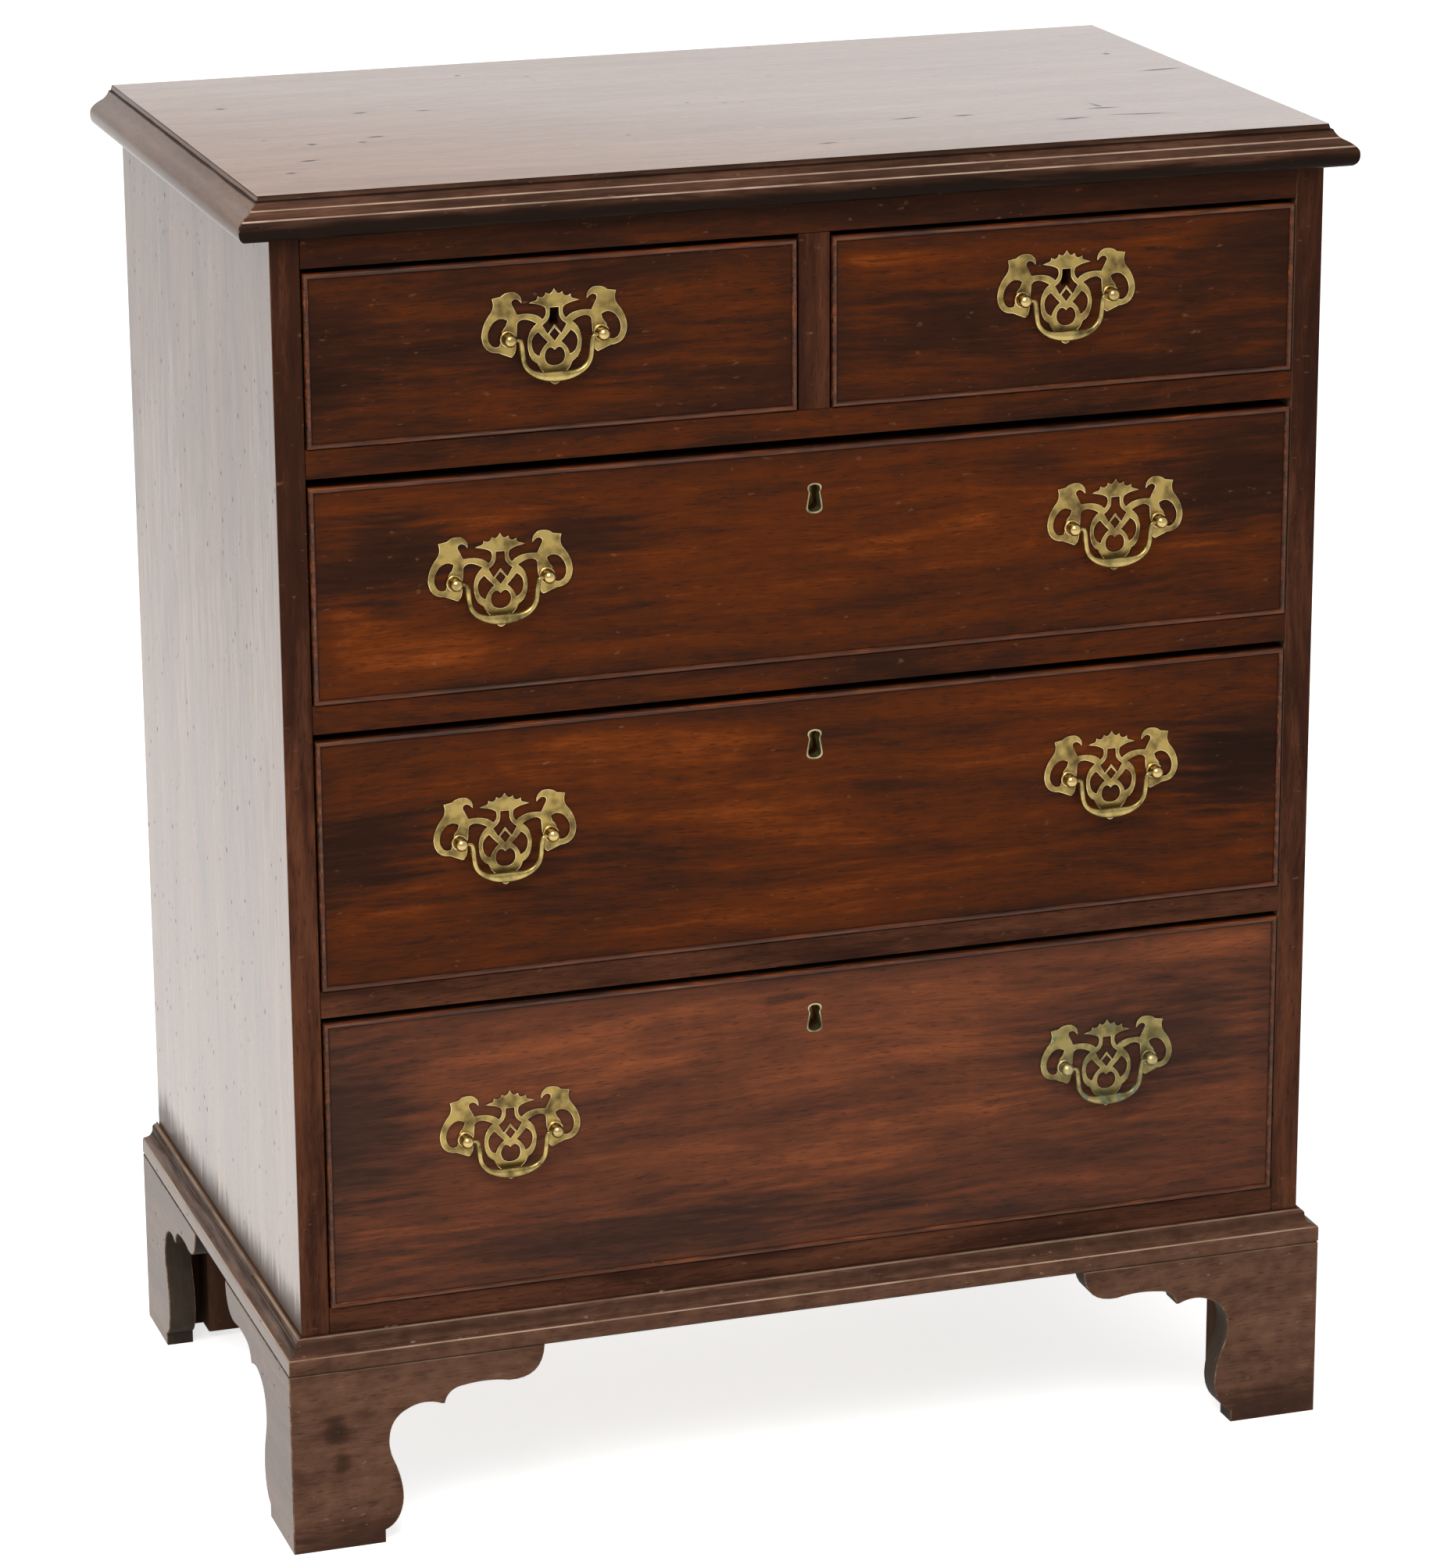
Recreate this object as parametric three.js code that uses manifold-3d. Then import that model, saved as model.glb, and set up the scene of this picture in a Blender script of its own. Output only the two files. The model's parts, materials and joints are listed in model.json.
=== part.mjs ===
// A mahogany bachelor's chest in the English manner of about 1770: two short drawers over three long ones,
// a top with a moulded edge, a moulded base and shaped bracket feet, and pierced brass handles with bails.
// Millimetres, +X to the right, +Y to the back, +Z up. The origin is on the floor, under the middle of the
// chest.
import * as THREE from "three";
import { mergeVertices } from "three/addons/utils/BufferGeometryUtils.js";
import Module from "manifold-3d";

const wasm = await Module();
wasm.setup();

// Case: its boards and the levels of its rails
const caseWidth = 740;
const caseDepth = 438;
const sideThickness = 20;
const footHeight = 132;
const bottomRailReveal = 17.5;
const bottomDrawerOpening = 210.5;
const lowerRailHeight = 18.5;
const thirdDrawerOpening = 180.5;
const middleRailHeight = 19.5;
const secondDrawerOpening = 154.5;
const upperRailHeight = 19.5;
const topDrawerOpening = 120.5;
const topRailHeight = 21;
const railDepth = 60;
const bottomRailThickness = 20;
const dividerWidth = 22;
const dividerShift = 1.5;
const dustboardThickness = 8;
const bottomBoardThickness = 18;
const backThickness = 10;
const backRebateDepth = 8;
const backJointWidth = 2;
const backJointDepth = 2.5;
const housingDepth = 6;
const housingSetback = 8;
const tenonLength = 8;
const tenonThickness = 9;
const tenonInset = 12;
const guideHeight = 14;
const stopLength = 40;
const stopDepth = 22;
const stopHeight = 4;

// Top board and the moulding worked on its front and side edges
const topThickness = 27.5;
const topSideOverhang = 22.3;
const topFrontOverhang = 11.3;
const topBackOverhang = 1;
const topMouldingWidth = 16.6;

// Base moulding and feet
const baseMouldingHeight = 24;
const baseMouldingProjection = 12.4;
const bracketThickness = 20;
const frontBracketLength = 182;
const frontFootSideLength = 188;
const rearFootSideLength = 172;
const rearFootOverrun = 3;
const rearBoardLength = 120;
const rearBoardInset = 8;
const glueBlockWidth = 28;
const glueBlockLift = 6;

// Drawers
const frontThickness = 20;
const frontLap = 5;
const cockbeadWidth = 3.5;
const liningThickness = 9;
const liningInset = 1;
const liningDrop = 6;
const backDrop = 8;
const drawerBottomThickness = 6;
const drawerBottomRaise = 8;
const liningGrooveDepth = 3.5;
const frontGrooveDepth = 5;
const tailPitch = 36;
const pinWidth = 5;
const tailSlopeShare = 0.16;
const bottomDrawerHeadroom = 4;
const thirdDrawerHeadroom = 5;
const secondDrawerHeadroom = 6;
const topDrawerHeadroom = 3.5;

// Keyholes: the long drawers' are cut for a brass lining, the short drawers' show through the handle plate
const keyholeWidth = 12;
const keyholeHeight = 21.5;
const keyholeDrop = 25;
const keyholeShift = 1.5;
const slotWidth = 6.5;
const slotHeight = 12;
const slotTopShare = 0.6;

// Handles
const longDrawerHandleSpacing = 439;
const bottomHandleLift = 9;
const thirdHandleLift = 8.3;
const secondHandleLift = 2;
const topHandleLift = 5.75;
const plateWidth = 100;
const plateRise = 32;
const plateFall = 33.5;
const plateThickness = 1.5;
const postSpacing = 64;
const ballDiameter = 9.2;
const ballStandoff = 7.2;
const collarDiameter = 11.6;
const collarThickness = 1.3;
const neckDiameter = 5;
const shankDiameter = 4.4;
const shankTail = 3;
const bailWidth = 51;
const bailDrop = 26.5;
const bailWireDiameter = 3.6;
const pinDiameter = 2.2;

// Clearances, and the overrun of every cutter past the face that it opens
const seatGap = 0.3;
const drawerSideGap = 1.5;
const drawerFloorGap = 0.5;
const drawerBackGap = 16;
const shankClearance = 0.5;
const pinClearance = 0.4;
const overrun = 2;

// Levels and faces that the pieces share
const halfCase = caseWidth / 2;
const inner = halfCase - sideThickness;
const mouldingTop = footHeight + baseMouldingHeight;
const bottomRailTop = mouldingTop + bottomRailReveal;
const lowerRailBottom = bottomRailTop + bottomDrawerOpening;
const lowerRailTop = lowerRailBottom + lowerRailHeight;
const middleRailBottom = lowerRailTop + thirdDrawerOpening;
const middleRailTop = middleRailBottom + middleRailHeight;
const upperRailBottom = middleRailTop + secondDrawerOpening;
const upperRailTop = upperRailBottom + upperRailHeight;
const topRailBottom = upperRailTop + topDrawerOpening;
const caseTop = topRailBottom + topRailHeight;
const bottomBoardUnderside = bottomRailTop - bottomBoardThickness;
const backFace = caseDepth - backThickness;
const drawerDepth = backFace - drawerBackGap;
const housedReach = inner + housingDepth - seatGap;
const dividerLeft = dividerShift - dividerWidth / 2;
const dividerRight = dividerShift + dividerWidth / 2;
const footBack = caseDepth + rearFootOverrun;

const mahogany = new THREE.MeshStandardMaterial({ color: "#4a2414", roughness: 0.35, metalness: 0 });
const fadedMahogany = new THREE.MeshStandardMaterial({ color: "#6b4230", roughness: 0.3, metalness: 0 });
const baseMahogany = new THREE.MeshStandardMaterial({ color: "#4d382c", roughness: 0.5, metalness: 0 });
const oak = new THREE.MeshStandardMaterial({ color: "#a58258", roughness: 0.75, metalness: 0 });
const pine = new THREE.MeshStandardMaterial({ color: "#8c6a44", roughness: 0.8, metalness: 0 });
const brass = new THREE.MeshStandardMaterial({ color: "#8c7a3c", roughness: 0.35, metalness: 1 });

const chest = new THREE.Group();

function addPiece(group, name, geometry, material) {
  const mesh = new THREE.Mesh(geometry, material);
  mesh.name = name;
  group.add(mesh);
  return mesh;
}

function addGroup(parent, x, y, z) {
  const group = new THREE.Group();
  group.position.set(x, y, z);
  parent.add(group);
  return group;
}

function box(x0, x1, y0, y1, z0, z1) {
  const geometry = new THREE.BoxGeometry(x1 - x0, y1 - y0, z1 - z0);
  return geometry.translate((x0 + x1) / 2, (y0 + y1) / 2, (z0 + z1) / 2);
}

// Joins and cuts
function solidOf(geometry) {
  const bare = geometry.clone();
  bare.deleteAttribute("normal");
  bare.deleteAttribute("uv");
  const merged = mergeVertices(bare);
  const vertProperties = merged.attributes.position.array;
  const triVerts = new Uint32Array(merged.index.array);
  return new wasm.Manifold(new wasm.Mesh({ numProp: 3, vertProperties, triVerts }));
}

function geometryOf(solid) {
  const mesh = solid.getMesh();
  const geometry = new THREE.BufferGeometry();
  geometry.setAttribute("position", new THREE.BufferAttribute(mesh.vertProperties, 3));
  geometry.setIndex(new THREE.BufferAttribute(mesh.triVerts, 1));
  const flat = geometry.toNonIndexed();
  flat.computeVertexNormals();
  return flat;
}

function joined(first, ...others) {
  return geometryOf(others.reduce((sum, other) => sum.add(solidOf(other)), solidOf(first)));
}

function cut(first, ...tools) {
  return geometryOf(tools.reduce((rest, tool) => rest.subtract(solidOf(tool)), solidOf(first)));
}

// A closed body through rings of as many points each, seen anticlockwise from where the last ring faces
function loft(rings) {
  const count = rings[0].length;
  const triangles = [];
  for (let ring = 0; ring + 1 < rings.length; ring++) {
    for (let k = 0; k < count; k++) {
      const a = ring * count + k;
      const b = ring * count + ((k + 1) % count);
      triangles.push(a, b, b + count, a, b + count, a + count);
    }
  }
  const last = (rings.length - 1) * count;
  for (let k = 1; k + 1 < count; k++) {
    triangles.push(0, k + 1, k, last, last + k, last + k + 1);
  }
  const geometry = new THREE.BufferGeometry().setFromPoints(rings.flat());
  geometry.setIndex(triangles);
  const flat = geometry.toNonIndexed();
  flat.computeVertexNormals();
  return flat;
}

// Outlines in shares of a width and a height. A row [x, z] is a straight run to that point, and a row
// [cx, cz, x, z] is a curve to its second pair that bends towards its first.
function follow(path, rows, place) {
  for (const row of rows) {
    const end = place(row.slice(-2));
    if (row.length === 2) path.lineTo(...end);
    else path.quadraticCurveTo(...place(row.slice(0, 2)), ...end);
  }
}

// The rows that lead back from the end of the given ones on the other side of the middle
function mirrorBack(start, rows) {
  const starts = [start, ...rows.map((row) => row.slice(-2))];
  const back = rows.map((row, i) => {
    const [x, z] = starts[i];
    return row.length === 2 ? [-x, z] : [-row[0], row[1], -x, z];
  });
  return back.reverse();
}

function scaledBy(width, rise, fall = rise) {
  return ([x, z]) => [x * width, z > 0 ? z * rise : z * fall];
}

// A flat shape drawn in X and Z, with its thickness along Y from the front face to the back face
function slab(shape, front, back, curveSegments = 1) {
  const options = { depth: back - front, bevelEnabled: false, curveSegments };
  const geometry = new THREE.ExtrudeGeometry(shape, options);
  return geometry.rotateX(Math.PI / 2).translate(0, back, 0);
}

// A slab turned to stand along Y, with its thickness along X from the first face to the second
function sideSlab(shape, x0, x1, curveSegments = 1) {
  return slab(shape, 0, x1 - x0, curveSegments).rotateZ(Math.PI / 2).translate(x1, 0, 0);
}

// Top: one thick board. Its edge has a small fillet, a cove, a slope and a round nose, worked along the
// front and both ends and mitred at the corners by the same cutter.
const edgeCurveSteps = 3;
const topEdgeShares = [
  [0.06, -0.127],
  [0.145, -0.135],
  [0.265, -0.313, 0.524, -0.378],
  [0.76, -0.444, 0.904, -0.542],
  [1, -0.604, 1, -0.72],
  [1, -0.927, 0.783, -1],
];

function topBoard() {
  const edge = new THREE.Path().moveTo(0, 0);
  follow(edge, topEdgeShares, scaledBy(topMouldingWidth, topThickness));
  const flatSide = halfCase + topSideOverhang - topMouldingWidth;
  const flatFront = topMouldingWidth - topFrontOverhang;
  const back = caseDepth + topBackOverhang;
  const rings = edge.getPoints(edgeCurveSteps).map(({ x: out, y: level }) => {
    const side = flatSide + out;
    const front = flatFront - out;
    const z = caseTop + topThickness + level;
    return [
      new THREE.Vector3(-side, front, z),
      new THREE.Vector3(side, front, z),
      new THREE.Vector3(side, back, z),
      new THREE.Vector3(-side, back, z),
    ];
  });
  return loft(rings.reverse());
}

addPiece(chest, "top", topBoard(), fadedMahogany);

// Sides: solid boards, housed for the rails and dustboards, and rebated at the back
const housedLevels = [
  [bottomBoardUnderside, bottomRailTop],
  [lowerRailTop - dustboardThickness, lowerRailTop],
  [middleRailTop - dustboardThickness, middleRailTop],
  [upperRailTop - dustboardThickness, upperRailTop],
  [topRailBottom, topRailBottom + dustboardThickness],
];

function rightSide() {
  const board = box(inner, halfCase, 0, caseDepth, footHeight, caseTop - seatGap);
  const start = housingSetback - seatGap;
  const housings = housedLevels.map(([low, high]) =>
    box(inner - overrun, inner + housingDepth, start, backFace, low - seatGap, high + seatGap),
  );
  const rebate = box(
    inner - overrun,
    inner + backRebateDepth,
    backFace - seatGap,
    caseDepth + overrun,
    bottomBoardUnderside - seatGap,
    caseTop + overrun,
  );
  return cut(board, ...housings, rebate);
}

const sideGeometry = rightSide();
addPiece(chest, "side_right", sideGeometry, fadedMahogany);
addPiece(chest, "side_left", sideGeometry, fadedMahogany).scale.x = -1;

// Back: thin boards in the rebates of the sides, with open joints across it
function backPanel() {
  const reach = inner + backRebateDepth - seatGap;
  const top = caseTop - seatGap;
  const panel = box(-reach, reach, backFace, caseDepth, bottomBoardUnderside, top);
  const boardCount = 3;
  const boardHeight = (top - bottomBoardUnderside) / boardCount;
  const joints = [];
  for (let i = 1; i < boardCount; i++) {
    const z = bottomBoardUnderside + i * boardHeight;
    const groove = caseDepth - backJointDepth;
    joints.push(box(-halfCase, halfCase, groove, caseDepth + overrun, z, z + backJointWidth));
  }
  return cut(panel, ...joints);
}

addPiece(chest, "back_panel", backPanel(), pine);

// Drawer stops: low blocks behind the drawer fronts, each centred on the X that is given
function stop(x, z) {
  const y = frontThickness + seatGap;
  return box(x - stopLength / 2, x + stopLength / 2, y, y + stopDepth, z - overrun, z + stopHeight);
}

const longStopPlaces = [-inner / 2, inner / 2];
const shortCentres = [(dividerLeft - inner) / 2, (dividerRight + inner) / 2];

// The stub tenon of the divider, grown by the clearance of its mortise
function dividerTenon(z0, z1, grow) {
  const halfThickness = tenonThickness / 2 + grow;
  const back = railDepth - tenonInset + grow;
  return box(dividerShift - halfThickness, dividerShift + halfThickness, tenonInset - grow, back, z0, z1);
}

// Front rails: their tongues enter the housings in the sides, in line with the dustboards
function rail(bottom, top, tongueBottom) {
  const body = box(seatGap - inner, inner - seatGap, 0, railDepth, bottom, top);
  const tongueTop = tongueBottom + dustboardThickness;
  const tongue = box(-housedReach, housedReach, housingSetback, railDepth, tongueBottom, tongueTop);
  return joined(body, tongue);
}

function dustboard(top) {
  const front = railDepth + seatGap;
  return box(-housedReach, housedReach, front, backFace - seatGap, top - dustboardThickness, top);
}

const frontRails = [
  { name: "lower", bottom: lowerRailBottom, top: lowerRailTop, stops: longStopPlaces },
  { name: "middle", bottom: middleRailBottom, top: middleRailTop, stops: longStopPlaces },
  { name: "upper", bottom: upperRailBottom, top: upperRailTop, stops: shortCentres },
];
for (const { name, bottom, top, stops } of frontRails) {
  const plain = rail(bottom, top, top - dustboardThickness);
  const stopped = joined(plain, ...stops.map((x) => stop(x, top)));
  const mortise = dividerTenon(top - tenonLength - seatGap, top + overrun, seatGap);
  addPiece(chest, `${name}_rail`, name === "upper" ? cut(stopped, mortise) : stopped, mahogany);
  const guide = box(
    dividerLeft,
    dividerRight,
    railDepth + seatGap,
    backFace - seatGap,
    top - dustboardThickness / 2,
    top + guideHeight,
  );
  const board = name === "upper" ? joined(dustboard(top), guide) : dustboard(top);
  addPiece(chest, `${name}_dustboard`, board, pine);
}

const topRailMortise = dividerTenon(topRailBottom - overrun, topRailBottom + tenonLength + seatGap, seatGap);
const topRail = cut(rail(topRailBottom, caseTop - seatGap, topRailBottom), topRailMortise);
addPiece(chest, "top_rail", topRail, mahogany);

// Divider between the short drawers, tenoned into the rails above and below
const divider = joined(
  box(dividerLeft, dividerRight, 0, railDepth, upperRailTop + seatGap, topRailBottom - seatGap),
  dividerTenon(upperRailTop - tenonLength, topRailBottom + tenonLength, 0),
);
addPiece(chest, "drawer_divider", divider, mahogany);

// Bottom: a rail on edge behind the base moulding, and the board that the bottom drawer runs on
const bottomRail = box(seatGap - inner, inner - seatGap, 0, bottomRailThickness, footHeight, bottomRailTop);
addPiece(chest, "bottom_rail", bottomRail, mahogany);
const bottomBoard = joined(
  box(
    -housedReach,
    housedReach,
    bottomRailThickness + seatGap,
    backFace - seatGap,
    bottomBoardUnderside,
    bottomRailTop,
  ),
  ...longStopPlaces.map((x) => stop(x, bottomRailTop)),
);
addPiece(chest, "bottom_board", bottomBoard, pine);

// Base moulding: a flat band with both arrises rounded, a cove, and a small bead against the case, mitred
// round the front corners
const baseProfileStart = [0.93, 0];
const baseProfileShares = [
  [1, 0.06],
  [1, 0.4],
  [1, 0.52, 0.88, 0.53],
  [0.78, 0.54],
  [0.43, 0.56, 0.36, 0.78],
  [0.42, 0.93, 0.13, 0.96],
  [0.13, 1],
];

function baseMoulding() {
  const place = scaledBy(baseMouldingProjection, baseMouldingHeight);
  const profile = new THREE.Path().moveTo(...place(baseProfileStart));
  follow(profile, baseProfileShares, place);
  const rings = profile.getPoints(edgeCurveSteps).map(({ x: out, y: rise }) => [
    new THREE.Vector3(-halfCase - out, -out, footHeight + rise),
    new THREE.Vector3(halfCase + out, -out, footHeight + rise),
    new THREE.Vector3(halfCase + out, footBack, footHeight + rise),
    new THREE.Vector3(-halfCase - out, footBack, footHeight + rise),
  ]);
  const room = box(
    -halfCase - seatGap,
    halfCase + seatGap,
    -seatGap,
    footBack + overrun,
    footHeight - overrun,
    mouldingTop + overrun,
  );
  return cut(loft(rings), room);
}

addPiece(chest, "base_moulding", baseMoulding(), baseMahogany);

// Feet: two shaped brackets that meet at the outer corner, with a glue block behind them that rises to the
// bottom board. Each foot is drawn from its outer corner, with X and Y running inwards.
const footTop = footHeight - seatGap;
const footCurveSteps = 3;
const bracketShares = [
  [0.36, 0],
  [0.36, 0.072],
  [0.426, 0.106, 0.434, 0.242],
  [0.434, 0.348, 0.401, 0.455],
  [0.379, 0.523, 0.384, 0.591],
  [0.39, 0.697, 0.453, 0.739],
  [0.522, 0.788, 0.593, 0.745],
  [0.603, 0.745],
  [0.615, 0.826, 0.681, 0.833],
  [0.775, 0.852, 0.857, 0.827],
  [0.992, 0.814, 1, 1],
  [0, 1],
];
const rearBoardShares = [
  [0.5, 0],
  [0.5, 0.28],
  [1, 0.72],
  [1, 1],
  [0, 1],
];

function bracketShape(shares, length) {
  const shape = new THREE.Shape().moveTo(0, 0);
  follow(shape, shares, scaledBy(length, footTop));
  return shape;
}

function foot(crossPiece, sideLength, blockStart, caseFace) {
  const sideShape = bracketShape(bracketShares, sideLength);
  const sideBracket = sideSlab(sideShape, 0, bracketThickness, footCurveSteps);
  const sideFace = halfCase + baseMouldingProjection - inner + seatGap;
  const blockX = sideFace + glueBlockWidth;
  const blockY = Math.max(blockStart, caseFace) + glueBlockWidth;
  const lowX = bracketThickness - overrun;
  const lowBlock = box(lowX, blockX, blockStart - overrun, blockY, glueBlockLift, footTop);
  const highTop = bottomBoardUnderside - seatGap;
  const highBlock = box(sideFace, blockX, caseFace, blockY, footTop - overrun, highTop);
  return joined(sideBracket, crossPiece, lowBlock, highBlock);
}

const frontShape = bracketShape(bracketShares, frontBracketLength);
const frontBracket = slab(frontShape, 0, bracketThickness, footCurveSteps);
const behindBottomRail = baseMouldingProjection + bottomRailThickness + seatGap;
const frontFoot = foot(frontBracket, frontFootSideLength, bracketThickness, behindBottomRail);

const rearBoardBack = rearBoardInset + bracketThickness;
const rearBoard = slab(bracketShape(rearBoardShares, rearBoardLength), rearBoardInset, rearBoardBack);
const beforeBackPanel = footBack - backFace + seatGap;
const rearFoot = foot(rearBoard, rearFootSideLength, rearBoardBack, beforeBackPanel);

for (const [side, x] of [["left", -1], ["right", 1]]) {
  const corner = x * (halfCase + baseMouldingProjection);
  const front = addPiece(chest, `front_${side}_foot`, frontFoot, baseMahogany);
  front.position.set(corner, -baseMouldingProjection, 0);
  front.scale.x = -x;
  const rear = addPiece(chest, `rear_${side}_foot`, rearFoot, baseMahogany);
  rear.position.set(corner, footBack, 0);
  rear.scale.set(-x, -1, 1);
}

// Dovetails: tails on the drawer linings, as far apart as the pitch allows. A tail is given by its middle
// height, the shoulder that it grows from and its tip.
function tailRow(low, high, shoulder, tip) {
  const count = Math.max(2, Math.round((high - low) / tailPitch));
  const pitch = (high - low) / count;
  const halfTip = (pitch - pinWidth) / 2;
  const halfRoot = halfTip - Math.abs(shoulder - tip) * tailSlopeShare;
  return Array.from({ length: count }, (_, i) => {
    const z = low + pitch * (i + 1 / 2);
    return { z, shoulder, tip, halfTip, halfRoot };
  });
}

// A tail's four corners from the bottom up, as pairs of Y and Z
function tailCorners({ z, shoulder, tip, halfTip, halfRoot }) {
  return [
    [shoulder, z - halfRoot],
    [tip, z - halfTip],
    [tip, z + halfTip],
    [shoulder, z + halfRoot],
  ];
}

// The socket that holds a tail with the seat gap all round it, open past the shoulder and past the lining
function socket({ z, shoulder, tip, halfTip, halfRoot }, x0, x1) {
  const outwards = Math.sign(tip - shoulder);
  const grown = {
    z,
    shoulder: shoulder - outwards * overrun,
    tip: tip + outwards * seatGap,
    halfTip: halfTip + seatGap,
    halfRoot: halfRoot + seatGap - overrun * tailSlopeShare,
  };
  const corners = tailCorners(grown).map(([y, height]) => new THREE.Vector2(y, height));
  return sideSlab(new THREE.Shape(corners), x0, x1);
}

const keyholeCurveSteps = 2;
const keyholeShares = [
  [0.46, 0, 0.5, 0.17],
  [0.47, 0.35, 0.35, 0.66],
  [0.34, 0.74, 0.42, 0.79],
  [0.5, 0.98, 0, 1],
];

function keyholeCutter(z) {
  const start = [0, 0];
  const shape = new THREE.Shape().moveTo(...start);
  const rows = [...keyholeShares, ...mirrorBack(start, keyholeShares)];
  follow(shape, rows, scaledBy(keyholeWidth, keyholeHeight));
  const cutter = slab(shape, -overrun, frontThickness + overrun, keyholeCurveSteps);
  return cutter.translate(keyholeShift, 0, z);
}

// Drawer front: a board with a half-round cockbead standing proud round its edge
const beadSteps = 4;

function frontBoard(width, height) {
  const radius = cockbeadWidth / 2;
  const bead = Array.from({ length: beadSteps + 1 }, (_, i) => {
    const angle = (Math.PI * i) / beadSteps;
    return { inset: radius - radius * Math.cos(angle), y: -radius * Math.sin(angle) };
  });
  const rings = [{ inset: 0, y: frontThickness }, ...bead].map(({ inset, y }) => {
    const x = width / 2 - inset;
    const low = drawerFloorGap + inset;
    const high = drawerFloorGap + height - inset;
    return [
      new THREE.Vector3(-x, y, low),
      new THREE.Vector3(x, y, low),
      new THREE.Vector3(x, y, high),
      new THREE.Vector3(-x, y, high),
    ];
  });
  return loft(rings);
}

// Handle plate: a pierced and scrolled brass plate with two turned posts, drawn from the middle of the line
// through its posts. Its shares are of half its width, and of its rise above and its fall below that line.
const plateCurveSteps = 2;
const plateOutlineStart = [0, 1];
const plateOutlineShares = [
  [0.052, 0.885],
  [0.118, 0.93],
  [0.15, 0.82],
  [0.23, 0.86],
  [0.246, 0.765],
  [0.36, 0.71],
  [0.2, 0.694, 0.126, 0.6],
  [0.092, 0.469, 0.16, 0.363],
  [0.27, 0.547, 0.508, 0.494],
  [0.564, 0.675],
  [0.612, 0.788, 0.536, 0.819],
  [0.488, 0.819, 0.446, 0.713],
  [0.428, 0.891, 0.54, 0.969],
  [0.66, 1, 0.73, 0.894],
  [0.852, 0.863],
  [0.812, 0.688, 0.872, 0.563],
  [0.996, 0.338, 1, 0.078],
  [0.984, -0.263, 0.77, -0.269],
  [0.6, -0.376],
  [0.532, -0.364, 0.526, -0.119],
  [0.506, 0.313],
  [0.44, 0.469, 0.246, 0.281],
  [0.376, 0.125, 0.372, -0.134],
  [0.368, -0.448, 0.246, -0.531],
  [0.212, -0.639],
  [0.16, -0.731, 0.05, -0.79],
  [0, -1],
];
const neckHoleShares = [
  [0.06, 0.594],
  [0.064, 0.453],
  [0.072, 0.328, 0.164, 0.238],
  [0.096, 0.05],
  [0, 0.244],
];
const diamondShares = [
  [0.07, 0.038],
  [0, -0.1],
];
const heartShares = [
  [0.068, -0.161, 0.124, -0.304],
  [0.16, -0.436, 0.1, -0.543],
  [0.052, -0.597, 0, -0.591],
];
const scrollHoleShares = [
  [0.74, 0.494, 0.836, 0.356],
  [0.93, 0.188, 0.904, 0],
  [0.86, -0.19, 0.756, -0.13],
  [0.726, 0.1],
  [0.72, 0.2, 0.668, 0.269],
  [0.644, 0.381],
];
const leafHoleShares = [
  [0.332, 0, 0.312, -0.179],
  [0.296, -0.34, 0.212, -0.382],
  [0.188, -0.239, 0.092, -0.119],
  [0.152, -0.03, 0.224, 0.1],
];

function symmetricPath(path, start, rows, place) {
  path.moveTo(...place(start));
  follow(path, [...rows, ...mirrorBack(start, rows)], place);
  return path;
}

function plateShape() {
  const place = scaledBy(plateWidth / 2, plateRise, plateFall);
  const leftFirst = ([x, z]) => place([-x, z]);
  const plate = symmetricPath(new THREE.Shape(), plateOutlineStart, plateOutlineShares, leftFirst);
  plate.holes.push(symmetricPath(new THREE.Path(), [0, 0.594], neckHoleShares, place));
  plate.holes.push(symmetricPath(new THREE.Path(), [0, 0.163], diamondShares, place));
  plate.holes.push(symmetricPath(new THREE.Path(), [0, -0.287], heartShares, place));
  for (const rows of [scrollHoleShares, leafHoleShares]) {
    for (const side of [1, -1]) {
      const sidePlace = ([x, z]) => place([side * x, z]);
      const hole = new THREE.Path().moveTo(...sidePlace(rows.at(-1).slice(-2)));
      follow(hole, rows, sidePlace);
      plate.holes.push(hole);
    }
  }
  return plate;
}

// Post: a turned ball on a neck and collar, with a shank that passes through the drawer front
const postSides = 8;
const ballSteps = 3;

function post() {
  const ball = ballDiameter / 2;
  const neck = neckDiameter / 2;
  const neckAngle = Math.asin(neck / ball);
  const profile = [
    [0, -frontThickness - shankTail],
    [shankDiameter / 2, -frontThickness - shankTail],
    [shankDiameter / 2, seatGap + plateThickness / 2],
    [collarDiameter / 2, seatGap + plateThickness / 2],
    [collarDiameter / 2, seatGap + plateThickness + collarThickness / 2],
    [neck, seatGap + plateThickness + collarThickness],
  ];
  for (let i = 0; i <= ballSteps; i++) {
    const angle = Math.PI - neckAngle - ((Math.PI - neckAngle) * i) / ballSteps;
    profile.push([i === ballSteps ? 0 : ball * Math.sin(angle), ballStandoff + ball * Math.cos(angle)]);
  }
  const points = profile.map(([radius, height]) => new THREE.Vector2(radius, height));
  return new THREE.LatheGeometry(points, postSides).rotateX(Math.PI);
}

// A round rod along X between two places, on the axis that the bail turns about
function rod(radius, x0, x1) {
  const geometry = new THREE.CylinderGeometry(radius, radius, x1 - x0, postSides);
  return geometry.rotateZ(Math.PI / 2).translate((x0 + x1) / 2, -ballStandoff, 0);
}

const pinTip = postSpacing / 2 - pinDiameter / 2;

function handlePlate() {
  const flat = slab(plateShape(), -seatGap - plateThickness, -seatGap, plateCurveSteps);
  const posts = [1, -1].map((side) => post().translate((side * postSpacing) / 2, 0, 0));
  const reach = pinTip + pinClearance;
  const pinHole = rod(pinDiameter / 2 + pinClearance, -reach, reach);
  const withPosts = joined(flat, ...posts);
  return cut(withPosts, pinHole);
}

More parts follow.
